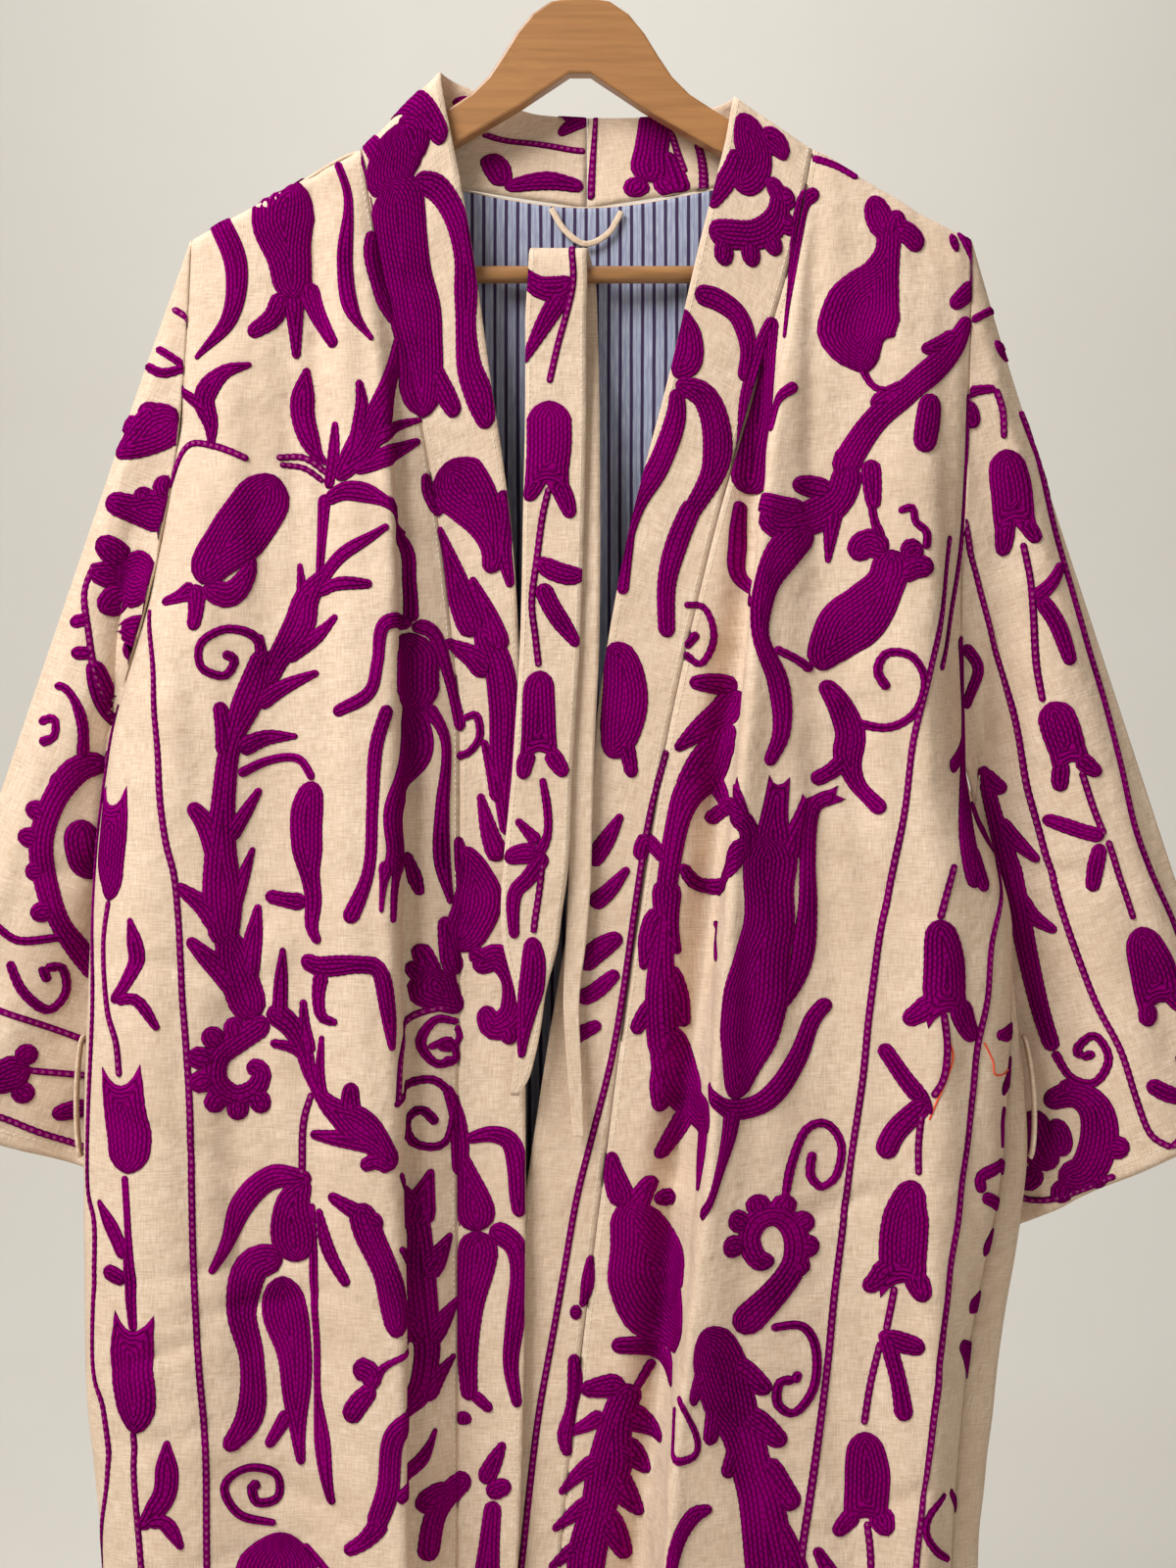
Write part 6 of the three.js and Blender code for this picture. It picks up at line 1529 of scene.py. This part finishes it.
BACK_PATTERN = """
centre stem | 8 10 14 18 16 12 10 | 0 -215, 4 -250, -4 -290, 2 -330, 8 -370, 2 -410, -4 -440
stem leaf a | 4 10 12 | 30 -231, 16 -248, 4 -262
stem leaf b | 4 10 12 | -28 -256, -14 -276, -3 -290
stem leaf c | 4 10 12 | 30 -294, 16 -316, 4 -330
stem leaf d | 4 10 12 | -24 -324, -10 -346, 4 -360
stem leaf e | 4 10 12 | 34 -350, 20 -372, 8 -386
centre fruit | 20 44 58 54 38 26 | -4 -440, -4 -460, -2 -486, 0 -512, 2 -532, 2 -546
fruit crown a | 12 10 6 | -6 -542, -18 -556, -28 -560
fruit crown b | 12 10 6 | 2 -544, 2 -560, 2 -574
fruit crown c | 12 10 6 | 10 -542, 22 -556, 32 -560
curl a | 5 5 5 5 5 6 | -34 -480, -44 -470, -56 -478, -54 -494, -42 -494, -44 -484
curl b | 5 5 5 5 5 6 | 34 -474, 44 -464, 56 -472, 54 -488, 42 -488, 44 -478
second stem | 10 12 12 10 | 2 -590, 6 -620, 0 -650, -2 -676
second leaf a | 4 10 12 | 30 -599, 16 -616, 4 -628
second leaf b | 4 10 12 | -26 -619, -12 -636, 0 -648
big tulip | 20 40 46 44 34 16 | 0 -690, -2 -706, -2 -730, 0 -756, 2 -778, 2 -792
big tooth a | 12 8 | -14 -694, -24 -665
big tooth b | 12 8 | 14 -694, 24 -665
calyx a | 12 12 10 8 | 2 -794, -18 -788, -34 -768, -42 -744
calyx b | 12 12 10 8 | 2 -794, 22 -788, 38 -768, 46 -744
third stem | 10 14 18 16 14 10 | 2 -800, 0 -840, -6 -880, 2 -920, 6 -960, 0 -990
third leaf a | 4 10 12 | 31 -825, 14 -842, 0 -856
third leaf b | 4 10 12 | -33 -851, -16 -868, -4 -882
third leaf c | 4 10 12 | 28 -895, 14 -912, 2 -926
third leaf d | 4 10 12 | -25 -925, -8 -944, 4 -958
low fruit | 20 44 56 52 38 24 | 0 -1000, 0 -1020, 0 -1046, 2 -1072, 2 -1092, 2 -1106
low crown a | 12 10 6 | -4 -1102, -18 -1116, -28 -1120
low crown b | 12 10 6 | 2 -1104, 2 -1120, 2 -1132
low crown c | 12 10 6 | 8 -1102, 22 -1116, 32 -1120
low stem | 8 12 10 | 2 -1150, 4 -1180, 0 -1210
low leaf a | 4 10 12 | 33 -1155, 16 -1172, 4 -1186
low leaf b | 4 10 12 | -29 -1171, -12 -1188, 2 -1202
"""


# %% Work the patterns
BACK_RIGHT, BACK_LEFT = -90, 66  # the fronts' strokes beyond these are worked on the back as well


def mirrored(strokes):
    return [(widths, points * [-1, 1], notches) for widths, points, notches in strokes]


right_strokes, left_strokes = strokes_of(RIGHT_PATTERN), strokes_of(LEFT_PATTERN)
wool_right = embroider("needlework_right_front", right_front, seen_on(right_front, right_strokes))
wool_left = embroider("needlework_left_front", left_front, seen_on(left_front, left_strokes))
wool_belt = embroider("needlework_belt", belt, seen_on(belt, strokes_of(BELT_PATTERN)))
neck = strokes_of(NECK_PATTERN)
wool_bands, wool_sleeves = [], []
for side, cloth, strokes in (("right", band_right, right_strokes), ("left", band_left, left_strokes)):
    wool_bands.append(embroider(f"needlework_{side}_band", cloth, seen_on(cloth, strokes)))
    inner = seen_on(cloth, neck, face="inner")
    wool_bands.append(embroider(f"needlework_{side}_neck_inside", cloth, inner, side=-1))
    wool_bands.append(embroider(f"needlework_{side}_neck_outside", cloth, inner))
for side, cloth, table in (
    ("right", sleeve_right, RIGHT_SLEEVE_PATTERN),
    ("left", sleeve_left, LEFT_SLEEVE_PATTERN),
):
    strokes = seen_on(cloth, strokes_of(table))
    wool_sleeves.append(embroider(f"needlework_{side}_sleeve", cloth, strokes))
    wool_sleeves.append(embroider(f"needlework_{side}_sleeve_back", cloth, mirrored(strokes)))

sides = [stroke for stroke in right_strokes if stroke[1][:, 0].max() < BACK_RIGHT]
sides += [stroke for stroke in left_strokes if stroke[1][:, 0].min() > BACK_LEFT]
wool_back = embroider("needlework_back", back, sides + strokes_of(BACK_PATTERN))


# %% [markdown]
# ### Topstitching and loose ends
#
# Cotton stitches run beside the seams between the fronts and the bands, along the bands' free edges, along both
# edges of the belt and near the cuffs. Two ends of an orange-red basting thread still hang on the left front. They
# could be curves with a round bevel; a narrow strip that dips between stitches has far fewer faces.

# %% Topstitches and loose ends
stitches_front_right = topstitch("topstitch_right_front", right_front, [edge_line(right_front, 0, 3)])
stitches_front_left = topstitch("topstitch_left_front", left_front, [edge_line(left_front, 0, 3)])
stitches_band_right, stitches_band_left = (
    topstitch(f"topstitch_{side}_band", cloth, [edge_line(cloth, 0, 3), edge_line(cloth, -1, 3.5)])
    for side, cloth in (("right", band_right), ("left", band_left))
)
stitches_belt = topstitch("topstitch_belt", belt, [edge_line(belt, 0, 2.5), edge_line(belt, -1, 2.5)])
stitches_sleeves = [
    topstitch(f"topstitch_{side}_cuff", cloth, [cloth.flat[-1] + [0, 8]])
    for side, cloth in (("right", sleeve_right), ("left", sleeve_left))
]
LOOSE_ENDS = """
one | 1.1 1.1 | 211 -660, 215 -672, 212 -685, 206 -700, 202 -710
two | 1.1 1.1 | 233 -665, 238 -676, 240 -684, 247 -680, 250 -675
"""
loose = embroider("loose_thread", left_front, seen_on(left_front, strokes_of(LOOSE_ENDS)), finishes=(loose_red,))


# %% [markdown]
# ## Studio
#
# A pale backdrop runs back along the floor and curves up into a wall, far enough behind the hanger that the jacket can
# be looked at from every side. A large soft light hangs above and in front, a weaker one fills in from the right, a
# third lights the backdrop alone, and the sky is pale. Lamps alone would leave the folds black, so the sky fills them.

# %% Backdrop
FLOOR, TURN, RADIUS = -1.36, 1.4, 1.6

n = Nodes("paint")
place = n.add("ShaderNodeTexCoord").outputs["Object"]
paint = n.finish(n.mix(n.noise(place, 3.0), linear("#dcd9d2"), linear("#d6d2ca")), 0.9)
bm = bmesh.new()
bmesh.ops.create_grid(bm, x_segments=1, y_segments=80, size=5)
for v in bm.verts:
    turned = min(max((v.co.y - TURN) / RADIUS, 0), math.pi / 2)
    up = max(v.co.y - TURN - RADIUS * math.pi / 2, 0)
    y = min(v.co.y, TURN) + RADIUS * math.sin(turned)
    v.co = (v.co.x, y, FLOOR + RADIUS * (1 - math.cos(turned)) + 3 * up)
for face in bm.faces:
    face.smooth = True
mesh = bpy.data.meshes.new("backdrop")
bm.to_mesh(mesh)
bm.free()
mesh.materials.append(paint)
backdrop = bpy.data.objects.new("backdrop", mesh)
bpy.context.collection.objects.link(backdrop)


# %% Lights and sky
def area_light(name, place, target, size, power, colour="#ffffff"):
    data = bpy.data.lights.new(name, "AREA")
    data.shape, data.size, data.energy = "SQUARE", size, power
    data.color = linear(colour)[:3]
    obj = bpy.data.objects.new(name, data)
    obj.location = place
    obj.rotation_euler = (Vector(target) - Vector(place)).to_track_quat("-Z", "Y").to_euler()
    obj.visible_camera = False
    bpy.context.collection.objects.link(obj)


area_light("key", (-1.4, -1.4, 1.2), (0, 0, -0.5), 1.2, 80)
area_light("fill", (1.2, -1.9, -0.2), (0.1, 0, -0.7), 1.2, 5)
area_light("backdrop_light", (0, 0.8, 1.7), (0, 3.1, -0.5), 2.0, 42)
world = bpy.data.worlds.new("sky")
world.use_nodes = True
world.node_tree.nodes["Background"].inputs[0].default_value = linear("#f1e6d8")
world.node_tree.nodes["Background"].inputs[1].default_value = 0.25
bpy.context.scene.world = world
bpy.context.scene.view_settings.view_transform = "Standard"
